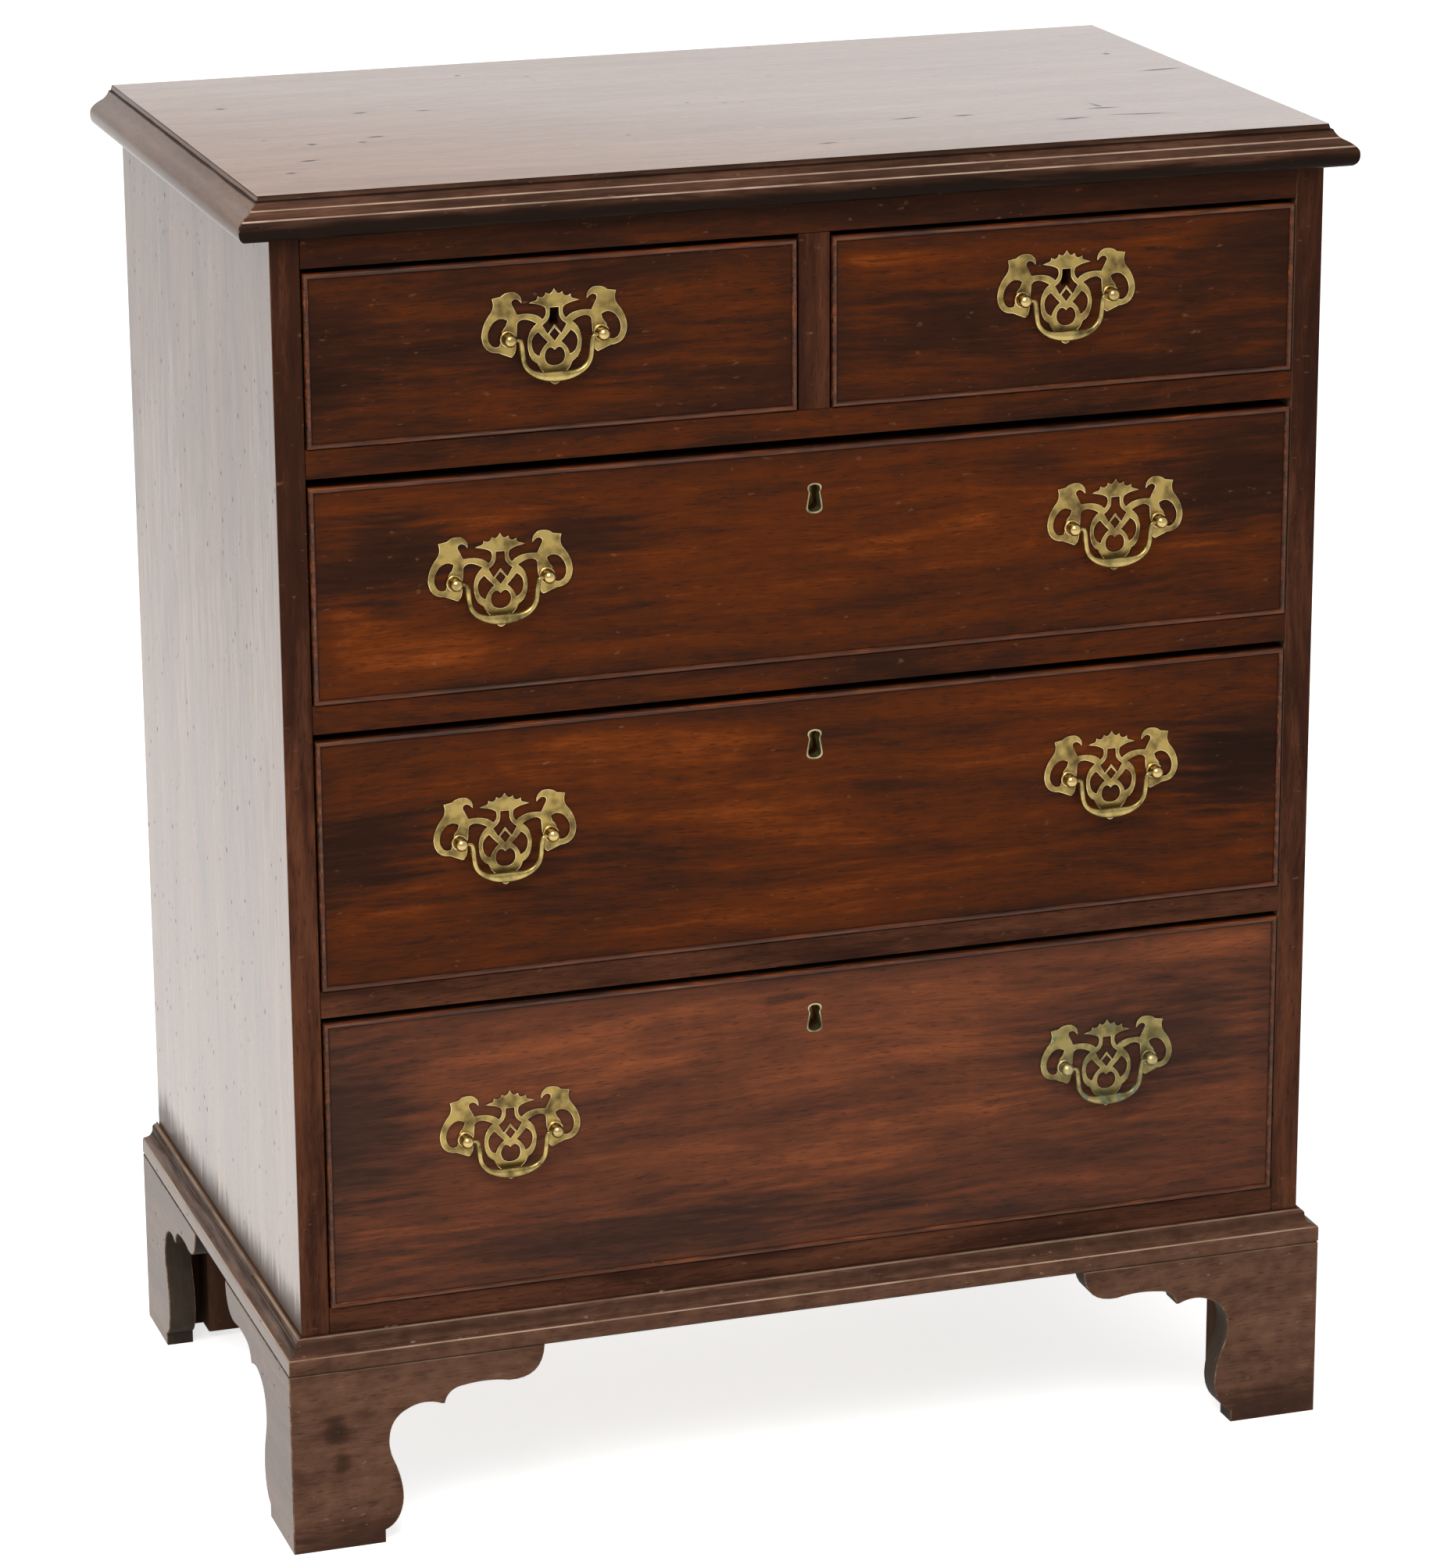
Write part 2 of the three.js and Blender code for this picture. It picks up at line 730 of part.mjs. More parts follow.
// Bail: a bent wire that swells to a flattened grip, with a pin at each end turned outwards into the posts.
// Each row is half its width and its drop as shares, then its half-thickness in the plane of the bail and
// across it as shares of the wire's radius.
const bailShares = [
  [1.07, -0.011, 0.94, 0.94],
  [1.017, -0.075, 1, 1],
  [0.996, -0.47, 1, 1],
  [0.937, -0.672, 1.06, 1.06],
  [0.778, -0.838, 1.12, 1.12],
  [0.544, -0.94, 1.45, 1.2],
  [0.28, -0.98, 2.1, 1.4],
  [0, -0.985, 2.3, 1.5],
];
const bailSides = 6;

function bail() {
  const wire = bailWireDiameter / 2;
  const halfWidth = bailWidth / 2 - wire;
  const pin = pinDiameter / 2;
  const bent = bailShares.map(([x, z, inPlane, across]) => ({
    x: x * halfWidth,
    z: z * bailDrop,
    inPlane: inPlane * wire,
    across: across * wire,
  }));
  const pinRoot = postSpacing / 2 - ballDiameter / 2 - pinClearance;
  const half = [
    { x: pinTip, z: 0, inPlane: pin, across: pin },
    { x: pinRoot, z: 0, inPlane: pin, across: pin },
    ...bent,
  ];
  const otherHalf = half.slice(0, -1).reverse().map((place) => ({ ...place, x: -place.x }));
  const places = [...half, ...otherHalf];
  const rings = places.map((place, i) => {
    const before = places[Math.max(i - 1, 0)];
    const after = places[Math.min(i + 1, places.length - 1)];
    const run = new THREE.Vector3(after.x - before.x, 0, after.z - before.z).normalize();
    return Array.from({ length: bailSides }, (_, k) => {
      const angle = (2 * Math.PI * k) / bailSides;
      const aside = place.inPlane * Math.cos(angle);
      const forward = place.across * Math.sin(angle);
      return new THREE.Vector3(place.x + aside * run.z, forward - ballStandoff, place.z - aside * run.x);
    });
  });
  return loft(rings);
}

const handlePlateGeometry = handlePlate();
const bailGeometry = bail();

function addDrawer({ name, left, right, floor, opening, headroom, handles, handleLift, keyhole }) {
  const drawer = addGroup(chest, (left + right) / 2, 0, floor);
  const width = right - left - 2 * drawerSideGap;
  const height = opening - drawerFloorGap - headroom;
  const pivot = drawerFloorGap + height / 2 + handleLift;
  const outside = width / 2 - liningInset;
  const inside = outside - liningThickness;
  const liningTop = drawerFloorGap + height - liningDrop;
  const bottomTop = drawerBottomRaise + drawerBottomThickness;
  const backBottom = bottomTop + seatGap;
  const backTop = liningTop - backDrop;
  const backInner = drawerDepth - liningThickness;
  const frontTails = tailRow(seatGap, liningTop, frontThickness + seatGap, frontLap + seatGap);
  const backTails = tailRow(backBottom, backTop, backInner - seatGap, drawerDepth);

  const sockets = (tails) => [
    ...tails.map((tail) => socket(tail, inside - seatGap, outside + liningInset + overrun)),
    ...tails.map((tail) => socket(tail, -outside - liningInset - overrun, seatGap - inside)),
  ];
  const grooveReach = inside + liningGrooveDepth;
  const grooveBottom = drawerBottomRaise - seatGap;
  const grooveTop = bottomTop + seatGap;
  const frontGroove = box(
    -grooveReach,
    grooveReach,
    frontThickness - frontGrooveDepth,
    frontThickness + overrun,
    grooveBottom,
    grooveTop,
  );
  const shankHoles = handles.flatMap((x) =>
    [1, -1].map((side) => {
      const radius = shankDiameter / 2 + shankClearance;
      const hole = new THREE.CylinderGeometry(radius, radius, frontThickness + 2 * overrun, postSides);
      return hole.translate(x + (side * postSpacing) / 2, frontThickness / 2, pivot);
    }),
  );
  const frontCuts = [...sockets(frontTails), frontGroove, ...shankHoles, keyhole(height, pivot)];
  addPiece(drawer, `${name}_front`, cut(frontBoard(width, height), ...frontCuts), mahogany);

  const outline = new THREE.Shape([
    ...frontTails.flatMap(tailCorners),
    [frontThickness + seatGap, liningTop],
    [backInner - seatGap, liningTop],
    ...backTails.flatMap(tailCorners).reverse(),
    [backInner - seatGap, seatGap],
    [frontThickness + seatGap, seatGap],
  ].map(([y, z]) => new THREE.Vector2(y, z)).reverse());
  const lining = cut(
    sideSlab(outline, inside, outside),
    box(inside - overrun, grooveReach, -overrun, drawerDepth + overrun, grooveBottom, grooveTop),
  );
  addPiece(drawer, `${name}_side_right`, lining, oak);
  addPiece(drawer, `${name}_side_left`, lining, oak).scale.x = -1;

  const back = box(-outside, outside, backInner, drawerDepth, backBottom, backTop);
  addPiece(drawer, `${name}_back`, cut(back, ...sockets(backTails)), oak);

  const bottomReach = grooveReach - seatGap;
  const bottomFront = frontThickness - frontGrooveDepth + seatGap;
  const bottom = box(-bottomReach, bottomReach, bottomFront, drawerDepth, drawerBottomRaise, bottomTop);
  addPiece(drawer, `${name}_bottom`, bottom, oak);

  handles.forEach((x, i) => {
    const label = handles.length === 1 ? name : `${name}_${["left", "right"][i]}`;
    const handle = addGroup(drawer, x, 0, pivot);
    addPiece(handle, `${label}_handle_plate`, handlePlateGeometry, brass);
    addPiece(handle, `${label}_bail`, bailGeometry, brass);
  });
}

const longKeyhole = (height) => keyholeCutter(drawerFloorGap + height - keyholeDrop - keyholeHeight);
const slotKeyhole = (height, pivot) => {
  const top = pivot + plateRise * slotTopShare;
  return box(-slotWidth / 2, slotWidth / 2, -overrun, frontThickness + overrun, top - slotHeight, top);
};

const longHandles = [-longDrawerHandleSpacing / 2, longDrawerHandleSpacing / 2];
const longDrawers = [
  {
    name: "second_drawer",
    floor: middleRailTop,
    opening: secondDrawerOpening,
    headroom: secondDrawerHeadroom,
    handleLift: secondHandleLift,
  },
  {
    name: "third_drawer",
    floor: lowerRailTop,
    opening: thirdDrawerOpening,
    headroom: thirdDrawerHeadroom,
    handleLift: thirdHandleLift,
  },
  {
    name: "bottom_drawer",
    floor: bottomRailTop,
    opening: bottomDrawerOpening,
    headroom: bottomDrawerHeadroom,
    handleLift: bottomHandleLift,
  },
];
for (const drawer of longDrawers) {
  addDrawer({ ...drawer, left: -inner, right: inner, handles: longHandles, keyhole: longKeyhole });
}
for (const [name, left, right] of [
  ["top_left_drawer", -inner, dividerLeft],
  ["top_right_drawer", dividerRight, inner],
]) {
  addDrawer({
    name,
    left,
    right,
    floor: upperRailTop,
    opening: topDrawerOpening,
    headroom: topDrawerHeadroom,
    handles: [0],
    handleLift: topHandleLift,
    keyhole: slotKeyhole,
  });
}

// The chest is drawn with its front at Y = 0 and then centred on the origin
const bachelorsChest = new THREE.Group();
chest.position.y = (baseMouldingProjection - footBack) / 2;
bachelorsChest.add(chest);

export default bachelorsChest;
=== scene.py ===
import json
import math
from functools import partial

import bmesh
import bpy
from mathutils import Matrix, Vector


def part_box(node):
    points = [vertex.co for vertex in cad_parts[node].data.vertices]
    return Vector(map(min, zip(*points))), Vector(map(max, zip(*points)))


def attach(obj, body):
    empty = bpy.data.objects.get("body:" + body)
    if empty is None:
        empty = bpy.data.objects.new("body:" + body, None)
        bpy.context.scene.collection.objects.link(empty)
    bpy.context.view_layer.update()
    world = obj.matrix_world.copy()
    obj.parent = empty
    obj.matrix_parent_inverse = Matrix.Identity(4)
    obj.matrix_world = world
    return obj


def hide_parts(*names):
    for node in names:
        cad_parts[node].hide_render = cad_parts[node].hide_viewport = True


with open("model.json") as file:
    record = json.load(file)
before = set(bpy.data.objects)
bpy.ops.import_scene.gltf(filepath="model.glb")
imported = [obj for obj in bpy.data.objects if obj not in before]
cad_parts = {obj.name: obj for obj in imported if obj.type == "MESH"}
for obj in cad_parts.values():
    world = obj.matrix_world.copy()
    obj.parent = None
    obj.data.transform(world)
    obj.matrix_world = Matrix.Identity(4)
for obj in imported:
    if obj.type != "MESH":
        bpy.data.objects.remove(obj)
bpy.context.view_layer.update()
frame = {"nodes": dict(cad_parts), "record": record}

bpy.ops.object.select_all(action="DESELECT")

# Camera: a long lens to the left of the chest and above it, where the photograph was taken from.
# Its place in metres, and its turn, tilt and roll in radians, come from the chest's corners and edges.
photograph_height_px = 2007
focal_length_px = 7140
film_size_mm = 36
camera_place = (-1.1972, -3.6591, 1.6417)
camera_turn = -0.3175
camera_tilt = 0.2999
camera_roll = -0.0056
bpy.ops.object.camera_add()
camera = bpy.context.object
camera.data.sensor_fit = "VERTICAL"
camera.data.sensor_height = film_size_mm
camera.data.lens = focal_length_px * film_size_mm / photograph_height_px
camera.matrix_world = (
    Matrix.Translation(camera_place)
    @ Matrix.Rotation(camera_turn, 4, "Z")
    @ Matrix.Rotation(math.pi / 2 - camera_tilt, 4, "X")
    @ Matrix.Rotation(camera_roll, 4, "Z")
)
bpy.context.scene.camera = camera


# Case sides: one wide mahogany board each, grain upright, French polished on the outside and faded by light.
# The front edge of each board shows beside the drawers, and its arrises are rubbed pale.
MM = 0.001
# A Mix node's two colour inputs and its colour output, by number
MIX_FROM, MIX_TO = 6, 7
COLOUR_MIX = {"out": 2, "data_type": "RGBA"}
# The turn that brings each axis to X, along which the grain is drawn
GRAIN_TURN = {"X": (0, 0, 0), "Y": (0, 0, -math.pi / 2), "Z": (0, math.pi / 2, 0)}


def paint(hex_colour):
    """A colour written as sRGB hex, as the linear values that a shader takes."""
    channels = [int(hex_colour[i : i + 2], 16) / 255 for i in (1, 3, 5)]
    return [c / 12.92 if c <= 0.04045 else ((c + 0.055) / 1.055) ** 2.4 for c in channels] + [1]


def feed(node, inputs):
    """Sets a node's inputs, by name or in order, to values, or links them to other nodes' outputs."""
    for key, value in inputs.items() if isinstance(inputs, dict) else enumerate(inputs):
        socket = node.inputs[key]
        if isinstance(value, bpy.types.NodeSocket):
            node.id_data.links.new(value, socket)
        else:
            socket.default_value = value


def put(tree, kind, inputs=(), out=0, stops=None, **settings):
    """Adds a node with its settings, inputs and colour stops. Returns the output that out names, or the node
    itself where out is None."""
    made = tree.nodes.new("ShaderNode" + kind)
    for name, value in settings.items():
        setattr(made, name, value)
    feed(made, inputs)
    if stops:
        ramp = made.color_ramp
        while len(ramp.elements) < len(stops):
            ramp.elements.new(0.5)
        for element, (place, colour) in zip(ramp.elements, stops):
            element.position = place
            element.color = paint(colour)
    return made if out is None else made.outputs[out]


def new_material(name):
    """A material, its Principled shader, and put() for its node tree."""
    material = bpy.data.materials.new(name)
    material.use_nodes = True
    return material, material.node_tree.nodes["Principled BSDF"], partial(put, material.node_tree)


def wood(name, along, colours, seed, tone=0.5, figure=0.75, streak=0.35, fine=0.22, mottle=0.15, pores=0.3,
         pits=0.0, stains_and_shade=(), rubs_and_highlights=(), scars=(), edge=None, roughness=0.34, specular=0.035, coat=0.0,
         coat_roughness=0.15, tilt=0.0, wear="#8a6248", wear_share=0.35, rubbed="#b89878"):
    """Sawn and polished wood: bands 200, 60 and 20 mm long along the grain, and a mottle 10 mm across, add to
    a tone, which picks a colour. Each stain, patch of painted shade, rub and painted highlight is a centre,
    three radii and a strength, and a scar is a centre, three radii and a turn about Z, all in metres. A stain
    or painted shade takes the polish dark and dull, and a rub or painted highlight shows pale wood. Edge is
    the middle and the half size of a face that is darkened towards its edges, with painted shade in the
    crease beside its bead. The seed moves the pattern, so that no two boards are alike."""
    material, shader, add = new_material(name)
    place = add("TexCoord", out="Object")
    leaning = add("Mapping", {"Vector": place, "Rotation": (0, tilt, 0)})
    straight = add("Mapping", {"Vector": leaning, "Rotation": GRAIN_TURN[along], "Location": seed})

    # The grain wanders from straight by up to 20 mm, in waves 400 mm long and 110 mm wide
    waves_per_metre = (2.5, 9, 9)
    wander = (0, 40 * MM, 40 * MM)
    feather = (0.9, 0.9, 0.9)
    long_waves = add("Mapping", {"Vector": straight, "Scale": waves_per_metre})
    bend = add("TexNoise", {"Vector": long_waves, "Scale": 1.0, "Detail": 3.0}, out="Color")
    bend = add("VectorMath", [bend, (0.5, 0.5, 0.5)], operation="SUBTRACT")
    grain = add("VectorMath", [bend, wander, straight], operation="MULTIPLY_ADD")
    loose = add("VectorMath", [bend, feather], operation="MULTIPLY")

    def bands(length, width, detail, start):
        """Soft bands of this length and width along the grain. Their start sets them off from others."""
        drawn_out = add("Mapping", {"Vector": grain, "Scale": (1 / length, 1 / width, 1 / width),
                                    "Location": (start, start, start)})
        return add("TexNoise", {"Vector": drawn_out, "Scale": 1.0, "Detail": detail, "Roughness": 0.55})

    streak_reach = 1.4
    threads = bands(20 * MM, 1.2 * MM, detail=2, start=11)
    streaks = bands(60 * MM, 5 * MM, detail=3, start=5)
    mottled = bands(14 * MM, 10 * MM, detail=3, start=41)
    figured = bands(200 * MM, 26 * MM, detail=4, start=0)
    feathers = add("Math", [streaks, streak_reach, -streak_reach / 2], operation="MULTIPLY_ADD")

    def mark(start, centre, radii, fade, values, **settings):
        """The first of two values inside a mark, and the second outside it. The mark fades between two shares
        of its radii, and noise and the grain feather its outline."""
        offset = add("VectorMath", [start, centre], operation="SUBTRACT")
        shares = add("VectorMath", [offset, [1 / r for r in radii], loose], operation="MULTIPLY_ADD")
        share = add("VectorMath", [shares], out="Value", operation="LENGTH")
        reach = add("Math", [share, feathers], operation="ADD")
        return add("MapRange", {"Value": reach, "From Min": fade[0], "From Max": fade[1], "To Min": values[0],
                                "To Max": values[1]}, **settings)

    def filled(colour, polish, share, hex_colour):
        """The colour and the polish where hollows filled with dirt take a share of the surface."""
        whole = add("Math", [1.0, share], operation="SUBTRACT")
        dirty = add("Mix", {"Factor": share, MIX_FROM: colour, MIX_TO: paint(hex_colour)}, **COLOUR_MIX)
        return dirty, add("Math", [polish, whole], operation="MULTIPLY")

    shade = tone
    for share, band in ((figure, figured), (streak, streaks), (fine, threads), (mottle, mottled)):
        even = add("Math", [band, 0.5], operation="SUBTRACT")
        shade = add("Math", [even, share, shade], operation="MULTIPLY_ADD")
    polish = coat
    stain_and_shade_fade, rub_and_highlight_fade, scar_fade = (0.2, 1.25), (0.4, 1.2), (0.3, 1.0)
    # Stains, and painted shade where less light falls, darken the wood and dull its polish
    for centre, radii, strength in stains_and_shade:
        left = mark(place, centre, radii, stain_and_shade_fade, (1 - strength, 1.0), interpolation_type="SMOOTHSTEP")
        shade = add("Math", [shade, left], operation="MULTIPLY")
        polish = add("Math", [polish, left], operation="MULTIPLY")

    # Along the moulding round a panel: painted shade as a dark line in the crease beside the bead, and a
    # softer band inside it that darkens the face towards its edges
    if edge:
        middle, half = edge
        bead_crease_shade_line = (3 * MM, 4.6 * MM, 0.35)
        edge_darkening_band = (4 * MM, 24 * MM, 0.80)
        aside = add("VectorMath", [place, middle], operation="SUBTRACT")
        aside = add("VectorMath", [aside], operation="ABSOLUTE")
        inwards = add("VectorMath", [half, aside], operation="SUBTRACT")
        inwards = add("SeparateXYZ", [inwards], out=None).outputs
        least = add("Math", [inwards["X"], inwards["Z"]], operation="MINIMUM")
        for start, end, darkest in (bead_crease_shade_line, edge_darkening_band):
            left = add("MapRange", {"Value": least, "From Min": start, "From Max": end, "To Min": darkest},
                       interpolation_type="SMOOTHSTEP")
            shade = add("Math", [shade, left], operation="MULTIPLY")

    # Open pores: short dark dashes along the grain, drawn about three times their real width to show
    dashes = bands(10 * MM, 1.1 * MM, detail=1, start=23)
    pore = add("MapRange", {"Value": dashes, "From Min": 0.60, "From Max": 0.72})
    left = add("Math", [pore, -pores, 1.0], operation="MULTIPLY_ADD")
    shade = add("Math", [shade, left], operation="MULTIPLY")
    colour = add("ValToRGB", {"Fac": shade}, stops=colours)

    # Dents and open pores that dirt has filled: dark dashes up to 5 mm long, in clusters. Each cell of 12 by
    # 8 mm may hold one, which reaches over 0.06 to 0.22 of the cell
    if pits:
        cells_per_metre = (80, 130, 130)
        crowding = 1.6
        least_reach, more_reach = 0.06, 0.16
        spread = add("Mapping", {"Vector": grain, "Scale": cells_per_metre})
        cell = add("TexVoronoi", {"Vector": spread, "Scale": 1.0}, out=None).outputs
        chance = add("SeparateColor", [cell["Color"]], out=None).outputs
        cluster = bands(160 * MM, 70 * MM, detail=2, start=51)
        cluster = add("Math", [cluster, crowding * pits], operation="MULTIPLY")
        chosen = add("Math", [chance["Red"], cluster], operation="LESS_THAN")
        reach = add("Math", [chance["Green"], more_reach, least_reach], operation="MULTIPLY_ADD")
        spot = add("MapRange", {"Value": cell["Distance"], "From Min": 0.04, "From Max": reach, "To Min": 1.0,
                                "To Max": 0.0})
        pit = add("Math", [spot, chosen], operation="MULTIPLY")
        colour, polish = filled(colour, polish, pit, "#120b08")

    # Arrises and crests that hands, dusters and drawers have rubbed down to pale wood, in broken lines, and
    # painted highlights drawn the same way
    for centre, radii, strength in rubs_and_highlights:
        bare = mark(place, centre, radii, rub_and_highlight_fade, (strength, 0.0))
        breaks = bands(50 * MM, 50 * MM, detail=3, start=17)
        broken = add("MapRange", {"Value": breaks, "From Min": 0.36, "From Max": 0.6, "To Min": 0.35})
        bare = add("Math", [bare, broken], operation="MULTIPLY")
        colour = add("Mix", {"Factor": bare, MIX_FROM: colour, MIX_TO: paint(rubbed)}, **COLOUR_MIX)

    # Scars: short gouges, dark where dirt has filled them
    gouge = 0.0
    for centre, radii, turn in scars:
        moved = add("VectorMath", [place, centre], operation="SUBTRACT")
        moved = add("Mapping", {"Vector": moved, "Rotation": (0, 0, -turn)})
        depth = mark(moved, (0, 0, 0), radii, scar_fade, (1.0, 0.0))
        gouge = add("Math", [gouge, depth], operation="MAXIMUM")
    if scars:
        colour, polish = filled(colour, polish, gouge, "#2a1c14")

    # Fine pale scratches and specks where the polish has worn, 9 mm apart along and 4 mm apart upwards
    specks_per_metre = (110, 110, 260)
    spread = add("Mapping", {"Vector": place, "Scale": specks_per_metre, "Location": seed})
    scuff = add("TexNoise", {"Vector": spread, "Scale": 1.0, "Detail": 3.0})
    scuff = add("MapRange", {"Value": scuff, "From Min": 0.68, "From Max": 0.80, "To Max": wear_share})
    colour = add("Mix", {"Factor": scuff, MIX_FROM: colour, MIX_TO: paint(wear)}, **COLOUR_MIX)

    # The threads make the gloss uneven. The surface swells a little, with pores and gouges sunk in it
    glossier, duller = roughness - 0.05, roughness + 0.09
    swell_height, pore_depth, gouge_depth = 0.4 * MM, 0.05 * MM, 1.5
    sheen = add("MapRange", {"Value": threads, "From Min": 0.3, "From Max": 0.7, "To Min": glossier,
                             "To Max": duller})
    swell = bands(120 * MM, 18 * MM, detail=1, start=31)
    swell = add("Math", [gouge, -gouge_depth, swell], operation="MULTIPLY_ADD")
    wave = add("Bump", {"Height": swell, "Distance": swell_height, "Strength": 1.0})
    relief = add("Math", [threads, pore], operation="SUBTRACT")
    bump = add("Bump", {"Height": relief, "Distance": pore_depth, "Strength": 1.0, "Normal": wave})
    feed(shader, {"Base Color": colour, "Roughness": sheen, "Normal": bump, "Specular IOR Level": specular,
                  "Coat Weight": polish if coat else 0.0, "Coat Roughness": coat_roughness})
    return material


body_with = {node: body for body, nodes in frame["record"]["behaviour"]["bodies"].items() for node in nodes}


def only(piece):
    """Leaves one object selected and active."""
    bpy.ops.object.select_all(action="DESELECT")
    piece.select_set(True)
    bpy.context.view_layer.objects.active = piece


def settle(piece, node, materials, stands_for_it=True):
    """The finished piece takes its materials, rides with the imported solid's body and may stand for it."""
    while piece.data.materials:
        piece.data.materials.pop()
    for material in materials:
        piece.data.materials.append(material)
    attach(piece, body_with[node])
    if stands_for_it:
        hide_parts(node)


def pick(piece, kind, test):
    """Selects the edges or faces that pass a test, in edit mode."""
    bpy.ops.mesh.select_mode(type=kind)
    bpy.ops.mesh.select_all(action="DESELECT")
    shape = bmesh.from_edit_mesh(piece.data)
    for item in shape.edges if kind == "EDGE" else shape.faces:
        if test(item):
            item.select_set(True)
    bmesh.update_edit_mesh(piece.data)


def open_mesh(piece):
    """Opens a piece for editing, with all of it selected."""
    only(piece)
    bpy.ops.object.mode_set(mode="EDIT")
    bpy.ops.mesh.select_all(action="SELECT")


def close_mesh():
    """Ends the editing of a mesh."""
    bpy.ops.object.mode_set(mode="OBJECT")


def sharp(edge, least=math.radians(28)):
    """Whether two faces meet at an edge and turn there by more than an angle."""
    return len(edge.link_faces) == 2 and edge.calc_face_angle(0) > least


def ease(piece, test, width, segments=2, material=-1):
    """Rounds over the edges that pass a test, in edit mode. They may take a material of their own."""
    pick(piece, "EDGE", test)
    bpy.ops.mesh.bevel(offset=width, segments=segments, affect="EDGES", material=material)


def finish_faces(piece, smooth_below=20):
    """Merges doubled points, turns the faces outwards and smooths the curved ones."""
    open_mesh(piece)
    bpy.ops.mesh.remove_doubles(threshold=0.002 * MM)
    bpy.ops.mesh.normals_make_consistent(inside=False)
    close_mesh()
    bpy.ops.object.shade_smooth_by_angle(angle=math.radians(smooth_below))


def merged_copy(node, name):
    """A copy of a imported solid, in edit mode, with its loose triangles merged."""
    piece = bpy.data.objects.new(name, frame["nodes"][node].data.copy())
    bpy.context.collection.objects.link(piece)
    open_mesh(piece)
    bpy.ops.mesh.customdata_custom_splitnormals_clear()
    bpy.ops.mesh.remove_doubles(threshold=0.005 * MM)
    return piece


def eased_copy(node, name, arris, materials, test=sharp):
    """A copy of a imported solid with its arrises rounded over. The arrises take the second material."""
    piece = merged_copy(node, name)
    bpy.ops.mesh.dissolve_limited(angle_limit=math.radians(1))
    ease(piece, test, arris, material=1)
    close_mesh()
    bpy.ops.object.shade_smooth_by_angle(angle=math.radians(20))
    settle(piece, node, materials)
    return piece


# A reach in metres past the whole chest, and how squarely a face has to look along an axis to face that way
everywhere = 10
facing = 0.9


def line_at(level, reach, strength):
    """A stain, a rub, painted shade or a painted highlight all the way round at one level, as far up and down
    as it reaches.
    """
    return (0, 0, level), (everywhere, everywhere, reach), strength


side_low, side_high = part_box("side_right")
case_front, case_back = side_low.y, side_high.y
case_half_width, case_top = side_high.x, side_high.z
moulding_low, moulding_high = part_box("base_moulding")
dull_mahogany = [(0.0, "#140a07"), (0.3, "#331b11"), (0.6, "#593422"), (1.0, "#86583e")]
faded_mahogany = [(0.0, "#2c1b13"), (0.3, "#573e2e"), (0.5, "#735542"), (1.0, "#a3836b")]
rubbed_mahogany = [(0.0, "#3e2418"), (0.5, "#64402c"), (1.0, "#946e54")]
shade_and_darkening_reach = 26 * MM
side_arris = 0.8 * MM
# Bleached brown under a soft gloss, with dirt in the dents, darker and duller along the base moulding, and
# painted shade that darkens it towards the top, under the top's overhang
side_board = wood("upright_polished_mahogany", "Z", faded_mahogany, (3.1, 0.4, 0.0), figure=0.8, streak=0.22,
                  fine=0.06, pores=0.18, pits=0.7, coat=0.95, specular=0.01, coat_roughness=0.2,
                  wear="#b39c8a", stains_and_shade=[line_at(moulding_high.z, shade_and_darkening_reach, 0.7),
                                          line_at(case_top, 14 * shade_and_darkening_reach, 0.2)])
# Dull and dark under thin polish, and darkest in the upper half
stile_edge = wood("stile_mahogany", "Z", dull_mahogany, (7.3, 1.2, 2.0), tone=0.47, figure=0.9,
                  stains_and_shade=[line_at(800 * MM, 400 * MM, 0.35)])
# Bare and pale with dark threads, where handling has worn the polish through
rubbed_arris = wood("rubbed_arris", "X", rubbed_mahogany, (1.0, 2.0, 3.0), streak=1.6, fine=1.2)
side_woods = [side_board, rubbed_arris, stile_edge]
for side in ("left", "right"):
    board = eased_copy(f"side_{side}", f"case_side_{side}", side_arris, side_woods)
    for face in board.data.polygons:
        from_the_ends = min(face.center.y - case_front, case_back - face.center.y)
        if abs(face.normal.y) > facing and from_the_ends < 1 * MM:
            face.material_index = 2


# Front rails and the upright between the short drawers: mahogany strips let into the sides.
# The top rail carries a painted shadow of the top along its upper edge, and the edges that drawers rub are
# pale.
dark_mahogany = [(0.0, "#130a07"), (0.25, "#31190e"), (0.5, "#53250b"), (0.75, "#7c3b13"), (1.0, "#a85c24")]
rail_arris = 0.5 * MM
# Nearly black, where old polish has gathered, and darker still along the top, where the top's shadow is
# painted
rail_wood = wood("rail_mahogany", "X", dark_mahogany, (0.3, 5.1, 4.0), tone=0.31, figure=0.9,
                 stains_and_shade=[line_at(case_top, 2 * shade_and_darkening_reach, 0.3)])
# Browner and duller, as the base below it is
low_rail_wood = wood("low_rail_mahogany", "X", dull_mahogany, (0.3, 5.1, 4.0), tone=0.42, figure=0.9)
for rail in ("top_rail", "upper_rail", "middle_rail", "lower_rail", "bottom_rail"):
    low_down = rail in ("lower_rail", "bottom_rail")
    eased_copy(rail, f"{rail}_strip", rail_arris, [low_rail_wood if low_down else rail_wood, rubbed_arris])
eased_copy("drawer_divider", "drawer_divider_strip", rail_arris, [stile_edge, rubbed_arris])


# Dustboards, bottom board and back: pine, sawn and left bare inside the case.
# The back is three boards nailed in the rebates of the sides, with open joints between them.
pine_colours = [(0.0, "#4c3a2a"), (0.5, "#84694a"), (1.0, "#aa8e68")]
pine_arris = 0.6 * MM
